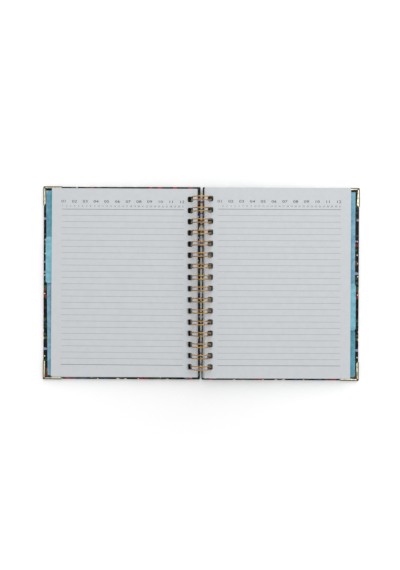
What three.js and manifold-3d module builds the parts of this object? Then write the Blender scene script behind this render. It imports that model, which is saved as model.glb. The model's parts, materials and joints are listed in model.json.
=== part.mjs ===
// Spiral planner, lying open at its middle: two hard covers, two stacks of ruled leaves with tabbed dividers,
// and one twin-loop wire that every sheet turns on.
// Millimetres. +X is towards the back cover's fore edge, +Y towards the head, +Z up.
// The origin is on the table, under the middle of the wire.

import * as THREE from 'three';
import { mergeVertices } from 'three/addons/utils/BufferGeometryUtils.js';
import Module from 'manifold-3d';

const wasm = await Module();
wasm.setup();

// Leaves: a standard trimmed page, its stacks and its dividers
const pageWidth = 165.1;
const pageHeight = 215.9;
const openLeafThickness = 0.2;
const frontLeavesThickness = 1.0;
const sectionOneThickness = 1.1;
const sectionTwoReadThickness = 1.0;
const sectionTwoUnreadThickness = 2.5;
const sectionThreeThickness = 2.4;
const sectionFourThickness = 2.4;
const dividerThickness = 0.3;
const leafGap = 0.05;
const facingLeavesGap = 0.3;

// Tabs: each takes its own share of the fore edge
const tabPlaces = 4;
const tabReach = 6.8;
const tabCornerRadius = 3;
const tabCornerSteps = 3;

// Covers: board, printed wrap and pasted endpaper
const boardThickness = 2.3;
const wrapThickness = 0.3;
const endpaperThickness = 0.2;
const glueGap = 0.05;
const turnInWidth = 15;
const endpaperInset = 4.5;
const foreEdgeSquare = 11.3;
const headSquare = 2.3;
const spineGap = 2.3;

// Metal corners, crimped round the fore edge's two corners
const cornerThickness = 0.4;
const cornerLeg = 21.5;
const cornerLegEnd = 2;
const cornerFlapWidth = 4.2;
const cornerEdgeRoll = 0.35;
const cornerRollSteps = 2;
const cornerTipRadius = 1;
const cornerTipSteps = 3;

// Wire: twin fingers at two holes to the inch, closed into rings
const fingerPitch = 12.7;
const fingerEndMargin = 12;
const fingerSpacing = 3.8;
const wireDiameter = 1.2;
const wireAllowance = 1.8;
const baseAngle = -68;
const baseBendRadius = 1.2;
const closingGap = 0.8;
const wireSides = 5;
const legSteps = 14;
const fingertipSteps = 4;
const baseBendSteps = 2;

// Punched holes
const pageHoleWidth = 6;
const pageHoleMargin = 7.05;
const holeClearance = 0.5;
const holeCornerCut = 1.2;

// How far each divider has slid out along the wire, within the play of its holes
const dividerSlide = { 1: 1.7, 2: 1.7, 3: -0.6, 4: 0.4 };

// How far a cutting tool runs past what it cuts
const cutterOverrun = 1;

// As many fingers as the page's height has room for
const fingerCount = Math.floor((pageHeight - 2 * fingerEndMargin) / fingerPitch) + 1;

// Heights from the ring's axis: with the planner shut, both stacks together lie evenly about it
const wireRadius = wireDiameter / 2;
const leftThickness = stackThickness([frontLeavesThickness, sectionOneThickness, sectionTwoReadThickness]);
const rightBlocks = [sectionTwoUnreadThickness, sectionThreeThickness, sectionFourThickness];
const rightThickness = stackThickness(rightBlocks);
const stackFloor = -(leftThickness + rightThickness + facingLeavesGap) / 2;
const cornerFlapTop = stackFloor - leafGap;
const turnInTop = cornerFlapTop - cornerThickness - glueGap;
const endpaperTop = turnInTop + glueGap + endpaperThickness;
const boardTop = turnInTop - wrapThickness - glueGap;
const boardBottom = boardTop - boardThickness;
const coverFace = boardBottom - glueGap - wrapThickness;
const cornerFace = coverFace - glueGap - cornerThickness;
const ringRadius = wireAllowance - coverFace;
const ringAxisHeight = ringRadius + wireRadius;

// Distances out from the ring's axis
const spineEdge = spineGap / 2;
const pageReach = ringRadius - pageHoleMargin + pageWidth;
const foreEdge = pageReach + foreEdgeSquare;
const headEdge = pageHeight / 2 + headSquare;
const cornerOutside = glueGap + cornerThickness;

// Each half slopes from the wire down to the metal corners at its fore edge
const halfSlope = slopeOfHalf();

const paper = sheetMaterial(0xeceef0, 0.9);
const lightCard = sheetMaterial(0x7cbccb, 0.7);
const darkCard = sheetMaterial(0x4e8fa2, 0.7);
const greyBoard = sheetMaterial(0x8c8a84, 0.95);
const printedWrap = sheetMaterial(0x17181c, 0.45);
const blueEndpaper = sheetMaterial(0x7ba9bf, 0.85);
const goldWire = new THREE.MeshStandardMaterial({ color: 0xb98f4e, roughness: 0.3, metalness: 1 });
const paleGold = new THREE.MeshStandardMaterial({ color: 0xd8ceaa, roughness: 0.3, metalness: 1 });

/** A plain, unpolished sheet or board of one colour. */
function sheetMaterial(color, roughness) {
  return new THREE.MeshStandardMaterial({ color, roughness, metalness: 0 });
}

/** The thickness of a side's blocks with their two dividers, the open leaf and the gaps between them. */
function stackThickness(blocks) {
  const sheets = [...blocks, dividerThickness, dividerThickness, openLeafThickness];
  return sheets.reduce((sum, thickness) => sum + thickness + leafGap, -leafGap);
}

/** How far out the wire's centre line is, at a height measured from the ring's axis. */
function ringChord(height) {
  return Math.sqrt(ringRadius ** 2 - height ** 2);
}

/** Half the length of the oval that the slanting wire cuts in a sheet at this height. */
function wireHalfCut(height) {
  return wireRadius * ringRadius / ringChord(height);
}

/** The angle at which the corners' undersides just reach the table, found by settling on it. */
function slopeOfHalf() {
  let angle = 0;
  for (let round = 0; round < 20; round += 1) {
    const drop = ringAxisHeight + cornerFace * Math.cos(angle);
    angle = Math.asin(drop / (foreEdge + cornerOutside));
  }
  return angle;
}

/** A closed prism: an outline with its holes, carried from one height up to another. */
function prism(shape, low, high) {
  const geometry = new THREE.ExtrudeGeometry(shape, { depth: high - low, bevelEnabled: false });
  return geometry.translate(0, 0, low);
}

/** A shape through a list of [x, y] points. */
function polygon(points) {
  return new THREE.Shape(points.map(([x, y]) => new THREE.Vector2(x, y)));
}

/** A rectangle between two corners. */
function rectangle(x0, y0, x1, y1) {
  return polygon([[x0, y0], [x1, y0], [x1, y1], [x0, y1]]);
}

/** A geometry as a solid that can be cut and joined. */
function solid(geometry) {
  const bare = geometry.clone();
  bare.deleteAttribute('normal');
  bare.deleteAttribute('uv');
  const merged = mergeVertices(bare, 1e-4);
  const triVerts = new Uint32Array(merged.index.array);
  const vertProperties = new Float32Array(merged.attributes.position.array);
  return new wasm.Manifold(new wasm.Mesh({ numProp: 3, vertProperties, triVerts }));
}

/** A cut or joined solid as a geometry again. */
function geometryOf(cut) {
  const mesh = cut.getMesh();
  const geometry = new THREE.BufferGeometry();
  geometry.setAttribute('position', new THREE.BufferAttribute(mesh.vertProperties, 3));
  geometry.setIndex(new THREE.BufferAttribute(mesh.triVerts, 1));
  geometry.computeVertexNormals();
  return geometry;
}

/** The y of a finger's middle, counted from the tail. */
function fingerPlace(index) {
  return (index - (fingerCount - 1) / 2) * fingerPitch;
}

/** The corners of one punched hole: a rectangle with its corners cut off. */
function holeCorners(centre, place, halfWidth, halfHeight) {
  const a = halfWidth;
  const b = halfHeight;
  const c = holeCornerCut;
  const upper = [[a, b - c], [a - c, b], [c - a, b], [-a, b - c]];
  const corners = [...upper, ...upper.map(([x, y]) => [-x, -y])];
  return corners.map(([x, y]) => new THREE.Vector2(centre + x, place + y));
}

/** The row of holes that the fingers pass through, one to a finger. */
function holeRow(centre, halfWidth) {
  const halfHeight = (fingerSpacing + wireDiameter) / 2 + holeClearance;
  const places = Array.from({ length: fingerCount }, (_, index) => fingerPlace(index));
  return places.map((place) => holeCorners(centre, place, halfWidth, halfHeight));
}

/** Where a cover's holes are, and how wide, so that the slanting wire clears them on both faces. */
function coverHoles(side) {
  const inner = ringChord(coverFace) - wireHalfCut(coverFace);
  const outer = ringChord(endpaperTop) + wireHalfCut(endpaperTop);
  const cornerLoss = Math.max(0, holeCornerCut - holeClearance);
  return holeRow(side * (inner + outer) / 2, (outer - inner) / 2 + holeClearance + cornerLoss);
}

/** A mesh under its part's name. */
function piece(name, geometry, material) {
  const mesh = new THREE.Mesh(geometry, material);
  mesh.name = name;
  return mesh;
}

/** A leaf's outline, measured from its row of holes; a divider's has a tab in one of the tab places. */
function leafOutline(side, tabPlace) {
  const inner = -pageHoleMargin;
  const outer = pageWidth - pageHoleMargin;
  const half = pageHeight / 2;
  const shape = new THREE.Shape();
  shape.moveTo(side * inner, -half);
  shape.lineTo(side * outer, -half);
  if (tabPlace) {
    const tabHeight = pageHeight / tabPlaces;
    const high = half - (tabPlace - 1) * tabHeight;
    const low = high - tabHeight;
    const tip = outer + tabReach;
    const r = tabCornerRadius;
    shape.lineTo(side * outer, low);
    for (let step = 0; step <= tabCornerSteps; step += 1) {
      const turn = step / tabCornerSteps * Math.PI / 2;
      shape.lineTo(side * (tip - r + r * Math.sin(turn)), low + r - r * Math.cos(turn));
    }
    for (let step = 0; step <= tabCornerSteps; step += 1) {
      const turn = step / tabCornerSteps * Math.PI / 2;
      shape.lineTo(side * (tip - r + r * Math.cos(turn)), high - r + r * Math.sin(turn));
    }
    shape.lineTo(side * outer, high);
  }
  shape.lineTo(side * outer, half);
  shape.lineTo(side * inner, half);
  return shape;
}

/** One leaf, block of leaves or divider, hung on the wire by its holes. */
function leaf({ name, side, low, thickness, material, tabPlace = 0, slide = 0 }) {
  const shape = leafOutline(side, tabPlace);
  const holes = holeRow(0, pageHoleWidth / 2);
  holes.forEach((corners) => shape.holes.push(new THREE.Path(corners)));
  const mesh = piece(name, prism(shape, 0, thickness), material);
  mesh.position.x = side * (ringChord(low + thickness / 2) + slide);
  mesh.position.z = low;
  return mesh;
}

/** The leaves on one side, laid from the endpaper up with a thin gap between them. */
function leafStack(side, sheets) {
  const stack = new THREE.Group();
  let low = stackFloor;
  sheets.forEach((sheet) => {
    stack.add(leaf({ side, low, ...sheet }));
    low += sheet.thickness + leafGap;
  });
  return stack;
}

/** A box over a cover's plan, set in from its four edges by the same amount. */
function insetPlate(side, inset, low, high) {
  const near = side * (spineEdge + inset);
  const far = side * (foreEdge - inset);
  const end = headEdge - inset;
  return solid(prism(rectangle(near, -end, far, end), low, high));
}

/** The same, with the wire's holes through it. */
function punched(side, plate) {
  const low = coverFace - cutterOverrun;
  const cutters = coverHoles(side).map((corners) => solid(prism(new THREE.Shape(corners), low, 0)));
  return cutters.reduce((rest, cutter) => rest.subtract(cutter), plate);
}

/** The grey board in a cover. */
function coverBoard(side, name) {
  const plate = insetPlate(side, wrapThickness + glueGap, boardBottom, boardTop);
  return piece(name, geometryOf(punched(side, plate)), greyBoard);
}

/** The printed wrap: outer face, four edges and the turn-ins round the inside. */
function coverWrap(side, name) {
  const outside = insetPlate(side, 0, coverFace, turnInTop);
  const room = insetPlate(side, wrapThickness, coverFace + wrapThickness, turnInTop - wrapThickness);
  const windowFloor = turnInTop - 2 * wrapThickness;
  const window = insetPlate(side, turnInWidth, windowFloor, turnInTop + cutterOverrun);
  const shell = outside.subtract(room).subtract(window);
  return piece(name, geometryOf(punched(side, shell)), printedWrap);
}

/** The endpaper: pasted over the turn-ins, and stepping down onto the board between them. */
function coverEndpaper(side, name) {
  const lip = insetPlate(side, endpaperInset, endpaperTop - endpaperThickness, endpaperTop);
  const drop = insetPlate(side, turnInWidth + glueGap, boardTop + glueGap, endpaperTop);
  const dish = turnInWidth + glueGap + endpaperThickness;
  const hollow = insetPlate(side, dish, boardTop + glueGap + endpaperThickness, endpaperTop + cutterOverrun);
  const sheet = lip.add(drop).subtract(hollow);
  return piece(name, geometryOf(punched(side, sheet)), blueEndpaper);
}

/** A metal corner's outline: two legs, cut off by a slanting side, with a rounded tip. */
function cornerOutline(side, end) {
  const x = foreEdge + cornerOutside;
  const y = headEdge + cornerOutside;
  const r = cornerTipRadius;
  const points = [[x - cornerLeg, y], [x - cornerLeg, y - cornerLegEnd], [x - cornerLegEnd, y - cornerLeg]];
  points.push([x, y - cornerLeg]);
  for (let step = 0; step <= cornerTipSteps; step += 1) {
    const turn = step / cornerTipSteps * Math.PI / 2;
    points.push([x - r + r * Math.cos(turn), y - r + r * Math.sin(turn)]);
  }
  return polygon(points.map(([px, py]) => [side * px, end * py]));
}

/** A prism whose rims are rolled over all round, as on pressed and burnished sheet metal. */
function rolledPrism(shape, low, high) {
  const geometry = new THREE.ExtrudeGeometry(shape, {
    depth: high - low - 2 * cornerEdgeRoll,
    bevelThickness: cornerEdgeRoll,
    bevelSize: cornerEdgeRoll,
    bevelOffset: -cornerEdgeRoll,
    bevelSegments: cornerRollSteps,
  });
  return geometry.translate(0, 0, low + cornerEdgeRoll);
}

/** A metal corner: a slant-sided plate under the cover, crimped up over its edges into two flaps. */
function metalCorner(side, end, name) {
  const blank = solid(rolledPrism(cornerOutline(side, end), cornerFace, cornerFlapTop));
  const coverRoom = insetPlate(side, -glueGap, coverFace - glueGap, turnInTop + glueGap);
  const flapRoom = insetPlate(side, cornerFlapWidth, turnInTop, cornerFlapTop + cutterOverrun);
  return piece(name, geometryOf(blank.subtract(coverRoom).subtract(flapRoom)), paleGold);
}

/** A point of the wire: how far round the ring it is from +X, in millimetres of arc, and its y. */
function onRing([arc, y]) {
  const angle = arc / ringRadius;
  return new THREE.Vector3(ringRadius * Math.cos(angle), y, ringRadius * Math.sin(angle));
}

/** Points round a quarter or half turn about a centre, from one angle to another, without its two ends. */
function bend([arc, y], radius, fromAngle, toAngle, steps) {
  const inner = Array.from({ length: steps - 1 }, (_, index) => (index + 1) / steps);
  const angles = inner.map((part) => THREE.MathUtils.degToRad(fromAngle + part * (toAngle - fromAngle)));
  return angles.map((angle) => [arc + radius * Math.cos(angle), y + radius * Math.sin(angle)]);
}

/** The wire's centre line: up a finger's first leg, round its tip, back down, and along to the next. */
function wirePath() {
  const legSide = fingerSpacing / 2;
  const base = THREE.MathUtils.degToRad(baseAngle) * ringRadius;
  const legStart = base + baseBendRadius;
  const bottom = 1.5 * Math.PI * ringRadius;
  const tipStart = base + 2 * Math.PI * ringRadius - closingGap - legSide;
  const legStep = (bottom - legStart) / legSteps;
  const legArcs = Array.from({ length: legSteps + 1 }, (_, index) => legStart + index * legStep);
  legArcs.push(tipStart);
  const path = [];
  for (let index = 0; index < fingerCount; index += 1) {
    const y = fingerPlace(index);
    path.push(...legArcs.map((arc) => [arc, y - legSide]));
    path.push(...bend([tipStart, y], legSide, -90, 90, fingertipSteps));
    path.push(...legArcs.map((arc) => [arc, y + legSide]).reverse());
    if (index < fingerCount - 1) {
      const leaving = y + legSide + baseBendRadius;
      const arriving = fingerPlace(index + 1) - legSide - baseBendRadius;
      path.push(...bend([legStart, leaving], baseBendRadius, -90, -180, baseBendSteps));
      path.push([base, leaving], [base, arriving]);
      path.push(...bend([legStart, arriving], baseBendRadius, 180, 90, baseBendSteps));
    }
  }
  return path.map(onRing);
}

/** A round tube along points on the ring, closed at both ends, with its first corner facing outwards. */
function tube(points, radius, sides) {
  const positions = [];
  const triangles = [];
  points.forEach((point, index) => {
    const before = points[Math.max(index - 1, 0)];
    const after = points[Math.min(index + 1, points.length - 1)];
    const along = after.clone().sub(before).normalize();
    const outward = new THREE.Vector3(point.x, 0, point.z).projectOnPlane(along).normalize();
    const across = along.clone().cross(outward);
    for (let side = 0; side < sides; side += 1) {
      const turn = side / sides * 2 * Math.PI;
      const spoke = outward.clone().multiplyScalar(Math.cos(turn)).addScaledVector(across, Math.sin(turn));
      positions.push(...point.clone().addScaledVector(spoke, radius).toArray());
    }
  });
  for (let ring = 0; ring < points.length - 1; ring += 1) {
    for (let side = 0; side < sides; side += 1) {
      const here = ring * sides + side;
      const beside = ring * sides + (side + 1) % sides;
      triangles.push(here, beside, here + sides, beside, beside + sides, here + sides);
    }
  }
  const last = (points.length - 1) * sides;
  for (let side = 1; side < sides - 1; side += 1) {
    triangles.push(0, side + 1, side);
    triangles.push(last, last + side, last + side + 1);
  }
  const geometry = new THREE.BufferGeometry();
  geometry.setAttribute('position', new THREE.Float32BufferAttribute(positions, 3));
  geometry.setIndex(triangles);
  geometry.computeVertexNormals();
  return geometry;
}

/** The least gap between stretches of the wire that aren't next to each other along it. */
function leastSelfGap(points) {
  const marks = points.slice(1).flatMap((point, index) => [points[index].clone().lerp(point, 0.5), point]);
  const lengths = marks.map((mark, index) => (index ? mark.distanceTo(marks[index - 1]) : 0));
  lengths.forEach((length, index) => { lengths[index] = length + (index ? lengths[index - 1] : 0); });
  let least = Infinity;
  for (let first = 0; first < marks.length; first += 1) {
    for (let second = first + 1; second < marks.length; second += 1) {
      if (lengths[second] - lengths[first] > 4 * wireDiameter) {
        least = Math.min(least, marks[first].distanceTo(marks[second]) - wireDiameter);
      }
    }
  }
  return least;
}

/** The binding wire: one unbroken strand, bent to and fro into twin fingers and closed into rings. */
function twinLoopWire() {
  const path = wirePath();
  console.log(`Least gap of the wire to itself: ${leastSelfGap(path).toFixed(2)} mm`);
  const wire = piece('twin_loop_wire', tube(path, wireRadius, wireSides), goldWire);
  wire.position.z = ringAxisHeight;
  return wire;
}

/** One half of the open planner: a cover with its corners, and the leaves that lie on it. */
function half(side, cover, sheets) {
  const group = new THREE.Group();
  group.add(coverBoard(side, `${cover}_cover_board`));
  group.add(coverWrap(side, `${cover}_cover_wrap`));
  group.add(coverEndpaper(side, `${cover}_cover_endpaper`));
  group.add(metalCorner(side, 1, `${cover}_corner_head`));
  group.add(metalCorner(side, -1, `${cover}_corner_tail`));
  group.add(leafStack(side, sheets));
  group.position.z = ringAxisHeight;
  group.rotation.y = side * halfSlope;
  return group;
}

/** A divider's card, with its tab's place and how far it has slid. */
function divider(number, material) {
  const name = `divider_${number}`;
  return { name, thickness: dividerThickness, material, tabPlace: number, slide: dividerSlide[number] };
}

/** A block of leaves. */
function block(name, thickness) {
  return { name, thickness, material: paper };
}

const leftSheets = [
  block('front_leaves', frontLeavesThickness),
  divider(1, darkCard),
  block('section_1_leaves', sectionOneThickness),
  divider(2, lightCard),
  block('section_2_read_leaves', sectionTwoReadThickness),
  block('left_open_leaf', openLeafThickness),
];

const rightSheets = [
  block('section_4_leaves', sectionFourThickness),
  divider(4, darkCard),
  block('section_3_leaves', sectionThreeThickness),
  divider(3, lightCard),
  block('section_2_unread_leaves', sectionTwoUnreadThickness),
  block('right_open_leaf', openLeafThickness),
];

const planner = new THREE.Group();
planner.add(half(-1, 'front', leftSheets));
planner.add(half(1, 'back', rightSheets));
planner.add(twinLoopWire());

export default planner;
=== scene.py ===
"""Spiral planner, lying open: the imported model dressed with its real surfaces, print, finishes and light.

Every sheet, cover and corner is worked out in millimetres in its own half of the planner. There u is how far
out from the ring's axis a point is, y is how far towards the head, and n is its height from the axis, square
to the sheets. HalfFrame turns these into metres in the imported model's frame.
"""

import json
import logging
import math
from dataclasses import dataclass, field
from enum import Enum
from typing import Any, Callable, Optional

import bpy
import numpy as np
from bpy.types import Material, Node, NodeTree, Object
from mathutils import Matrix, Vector
from mathutils.geometry import delaunay_2d_cdt


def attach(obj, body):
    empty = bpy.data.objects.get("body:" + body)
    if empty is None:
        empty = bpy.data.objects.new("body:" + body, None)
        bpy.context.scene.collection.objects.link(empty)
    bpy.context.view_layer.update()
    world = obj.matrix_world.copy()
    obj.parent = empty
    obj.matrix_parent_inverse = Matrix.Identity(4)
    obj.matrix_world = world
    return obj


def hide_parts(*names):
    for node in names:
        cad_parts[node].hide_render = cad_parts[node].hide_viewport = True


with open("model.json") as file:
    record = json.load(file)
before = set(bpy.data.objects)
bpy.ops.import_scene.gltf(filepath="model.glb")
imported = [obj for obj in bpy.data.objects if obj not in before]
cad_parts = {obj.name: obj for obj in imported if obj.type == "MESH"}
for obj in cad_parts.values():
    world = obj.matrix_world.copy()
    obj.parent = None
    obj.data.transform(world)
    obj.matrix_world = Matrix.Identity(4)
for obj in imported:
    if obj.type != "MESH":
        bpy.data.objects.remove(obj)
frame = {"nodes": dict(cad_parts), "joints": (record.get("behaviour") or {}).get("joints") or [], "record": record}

LOG = logging.getLogger("spiral_planner")
MM = 0.001
PRINT_LAYOUT = "print_layout"
CUT_EDGE = -1000.0  # the layout's u, in mm, for the cut edges of a block of leaves
WELD_DIGITS = 4  # points that agree to this many digits of a millimetre are one point
CDT_REACH = 1e-5  # how close the triangulation lets two points come, in mm
PER_METRE = 1000  # a noise's scale for features of 1 mm

Array = np.ndarray
Colour = tuple[float, float, float, float]
Pair = tuple[float, float]
Tones = tuple[tuple[float, str], ...]
Finishes = dict[str, Material]


class Side(Enum):
    """The half of the open planner that a piece lies in."""

    LEFT = -1
    RIGHT = 1


class End(Enum):
    """The end of a cover's fore edge that a metal corner is crimped on."""

    HEAD = 1
    TAIL = -1


class Edge(Enum):
    """A cover's four edges, in order round its plan, each with the direction that faces away from it."""

    FORE = (1.0, 0.0)
    HEAD = (0.0, 1.0)
    SPINE = (-1.0, 0.0)
    TAIL = (0.0, -1.0)


class Motif(Enum):
    """The kinds of small shape printed on the covers."""

    DISC = "disc"
    RING = "ring"
    LEAF = "leaf"


# Frame of one half


def turned(first: Array, second: Array, angle: float) -> tuple[Array, Array]:
    """Turns directions (first, second) by an angle in radians, from the first axis towards the second."""
    cosine, sine = math.cos(angle), math.sin(angle)
    return first * cosine - second * sine, first * sine + second * cosine


@dataclass(frozen=True)
class HalfFrame:
    """One half's own axes: both halves slope down from the wire to the metal corners.

    Attributes:
        side: which half it is.
        slope: how far the half slopes down, in radians.
        axis_height: the ring's axis above the table, in mm.
    """

    side: Side
    slope: float
    axis_height: float

    def place(self, points: Array) -> Array:
        """Carries points in mm to the model's frame in metres: the slope is a turn about the wire.

        Args:
            points: (N, 3) array of u, y and n.

        Returns:
            (N, 3) array of x, y and z.
        """
        u, y, n = points.T
        out, up = turned(u, n, -self.slope)
        return np.column_stack([self.side.value * out, y, self.axis_height + up]) * MM

    def span(self, name: str) -> tuple[Array, Array]:
        """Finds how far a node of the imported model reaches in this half's own axes.

        Args:
            name: the node's name.

        Returns:
            The least and the greatest (u, y, n), in mm.
        """
        mesh = frame["nodes"][name].data
        flat = np.empty(3 * len(mesh.vertices), np.float32)
        mesh.vertices.foreach_get("co", flat)
        x, y, z = flat.reshape(-1, 3).astype(float).T / MM
        u, n = turned(self.side.value * x, z - self.axis_height, self.slope)
        own = np.column_stack([u, y, n])
        return own.min(axis=0), own.max(axis=0)


@dataclass(frozen=True)
class Lie:
    """How a sheet or cover has shifted on the wire, within the play of its holes.

    Attributes:
        out: shift away from the spine, in mm.
        head: shift towards the head, in mm.
        turn: turn about the middle of the hole row, counter-clockwise from above, in degrees.
    """

    out: float = 0.0
    head: float = 0.0
    turn: float = 0.0

    def apply(self, points: Array, side: Side, pivot: float) -> Array:
        """Turns points about the hole row's middle, then shifts them.

        Args:
            points: (N, 3) array of u, y and n in mm.
            side: the half that they lie in.
            pivot: u of the hole row.

        Returns:
            The moved points.
        """
        u, y = turned(points[:, 0] - pivot, points[:, 1], math.radians(self.turn) * side.value)
        return np.column_stack([pivot + self.out + u, self.head + y, points[:, 2]])


# Outlines in the plane of a sheet


def sampled(corners: Array, step: float) -> Array:
    """Walks round a polygon with points no further apart than step.

    Args:
        corners: (N, 2) corners in order.
        step: greatest distance between points, in mm.

    Returns:
        (M, 2) points of the same polygon, its corners among them.
    """
    pieces = []
    for start, stop in zip(corners, np.roll(corners, -1, axis=0)):
        count = max(1, math.ceil(float(np.linalg.norm(stop - start)) / step))
        pieces.append(start + np.arange(count)[:, None] / count * (stop - start))
    return np.concatenate(pieces)


def rectangle(low: Array, high: Array) -> Array:
    """The corners of a rectangle, counter-clockwise from the one with the greatest u and the least y."""
    return np.array([[high[0], low[1]], [high[0], high[1]], [low[0], high[1]], [low[0], low[1]]])


def rounded_rectangle(low: Array, high: Array, radius: float, steps: int) -> Array:
    """A rectangle with round corners: each corner is a quarter circle about a centre set in by the radius.

    Args:
        low: least u and y.
        high: greatest u and y.
        radius: corner radius in mm.
        steps: steps in each quarter circle.

    Returns:
        (4 * (steps + 1), 2) points, counter-clockwise from the corner with the greatest u and the least y.
    """
    centres = rectangle(low + radius, high - radius)
    turns = np.linspace(0, math.pi / 2, steps + 1)[None, :] + (np.arange(4)[:, None] - 1) * math.pi / 2
    ring = np.stack([np.cos(turns), np.sin(turns)], axis=2) * radius
    return (centres[:, None, :] + ring).reshape(-1, 2)


def oval(centre: float, place: float, half_sizes: Pair, power: float, turns: Array) -> Array:
    """Points of a squared-off oval, where |u / a| ** power + |y / b| ** power is 1.

    Args:
        centre: u of its middle.
        place: y of its middle.
        half_sizes: a and b in mm.
        power: 2 for an ellipse, more for a squarer hole.
        turns: the angles to take, in radians.

    Returns:
        (N, 2) points.
    """
    cosine, sine = np.cos(turns), np.sin(turns)
    u = half_sizes[0] * np.sign(cosine) * np.abs(cosine) ** (2 / power)
    y = half_sizes[1] * np.sign(sine) * np.abs(sine) ** (2 / power)
    return np.column_stack([centre + u, place + y])


def holes(centre: float, places: Array, half_sizes: Pair, power: float, steps: int) -> list[Array]:
    """A row of punched ovals at these places, each going clockwise, so that its walls face into it."""
    turns = -np.arange(steps) * 2 * math.pi / steps
    return [oval(centre, place, half_sizes, power, turns) for place in places]


def inside(points: Array, loops: list[Array]) -> Array:
    """Even-odd rule: inside is where a line from a point towards +u crosses the loops an odd number of times.

    Args:
        points: (N, 2) points.
        loops: closed outlines.

    Returns:
        (N,) true where inside.
    """
    starts = np.concatenate(loops)
    stops = np.concatenate([np.roll(loop, -1, axis=0) for loop in loops])
    u, y = points[:, :1], points[:, 1:]
    beside = (starts[:, 1] > y) != (stops[:, 1] > y)
    rise = np.where(beside, stops[:, 1] - starts[:, 1], 1.0)
    crossing = starts[:, 0] + (y - starts[:, 1]) * (stops[:, 0] - starts[:, 0]) / rise
    return (beside & (u < crossing)).sum(axis=1) % 2 == 1


def triangulate(
    loops: list[Array], creases: Optional[list[Array]] = None, loose: Optional[Array] = None
) -> tuple[Array, Array]:
    """Fills an outline and leaves its holes open, by a constrained Delaunay mesh kept where it is inside.

    Args:
        loops: the outline and its holes.
        creases: closed lines that edges must follow, without bounding anything.
        loose: further points.

    Returns:
        The (N, 2) points in the order given, and (M, 3) triangles, counter-clockwise.
    """
    rings = [*loops, *(creases or [])]
    points = np.concatenate([*rings, np.empty((0, 2)) if loose is None else loose])
    starts = np.cumsum([0, *[len(ring) for ring in rings]])
    orders = [start + np.arange(len(ring)) for start, ring in zip(starts, rings)]
    edges = np.concatenate([np.column_stack([order, np.roll(order, -1)]) for order in orders])
    vectors = [Vector(point) for point in points.tolist()]
    made = delaunay_2d_cdt(vectors, edges.tolist(), [], 1, CDT_REACH)
    given = np.array([ids[0] for ids in made[3]])
    triangles = given[np.array(made[2])]
    a, b, c = (points[triangles[:, corner]] for corner in range(3))
    area = (b[:, 0] - a[:, 0]) * (c[:, 1] - a[:, 1]) - (b[:, 1] - a[:, 1]) * (c[:, 0] - a[:, 0])
    triangles[area < 0] = triangles[area < 0][:, ::-1]
    return points, triangles[inside((a + b + c) / 3, loops)]


def grid_triangles(rings: int, across: int) -> Array:
    """Joins closed rings of points into triangles that face away from a counter-clockwise ring.

    Args:
        rings: number of rings.
        across: points in each ring.

    Returns:
        (M, 3) indices into the flattened rings.
    """
    cells = np.meshgrid(np.arange(rings - 1), np.arange(across), indexing="ij")
    ring, column = (part.ravel() for part in cells)
    a, b = ring * across + column, ring * across + (column + 1) % across
    c, d = b + across, a + across
    return np.concatenate([np.column_stack([a, b, c]), np.column_stack([a, c, d])])


def outward(loop: Array) -> Array:
    """Each point's direction away from the material: its neighbours' tangent, a quarter turn on."""
    along = np.roll(loop, -1, axis=0) - np.roll(loop, 1, axis=0)
    return np.column_stack([along[:, 1], -along[:, 0]]) / np.linalg.norm(along, axis=1, keepdims=True)


def at_height(points: Array, height: Any) -> Array:
    """Plan points with their height added as a third column."""
    return np.column_stack([points, np.broadcast_to(height, len(points))])


def weld(points: Array, faces: Array) -> tuple[Array, Array, Array]:
    """Joins the points that lie at one place.

    Args:
        points: (N, 3) points in mm.
        faces: (M, 3) indices into them.

    Returns:
        Which points are kept, the faces' indices into those, and which faces still have three corners.
    """
    _, kept, joined = np.unique(np.round(points, WELD_DIGITS), axis=0, return_index=True, return_inverse=True)
    faces = joined.ravel()[faces]
    return kept, faces, (faces != np.roll(faces, 1, axis=1)).all(axis=1)


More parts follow.
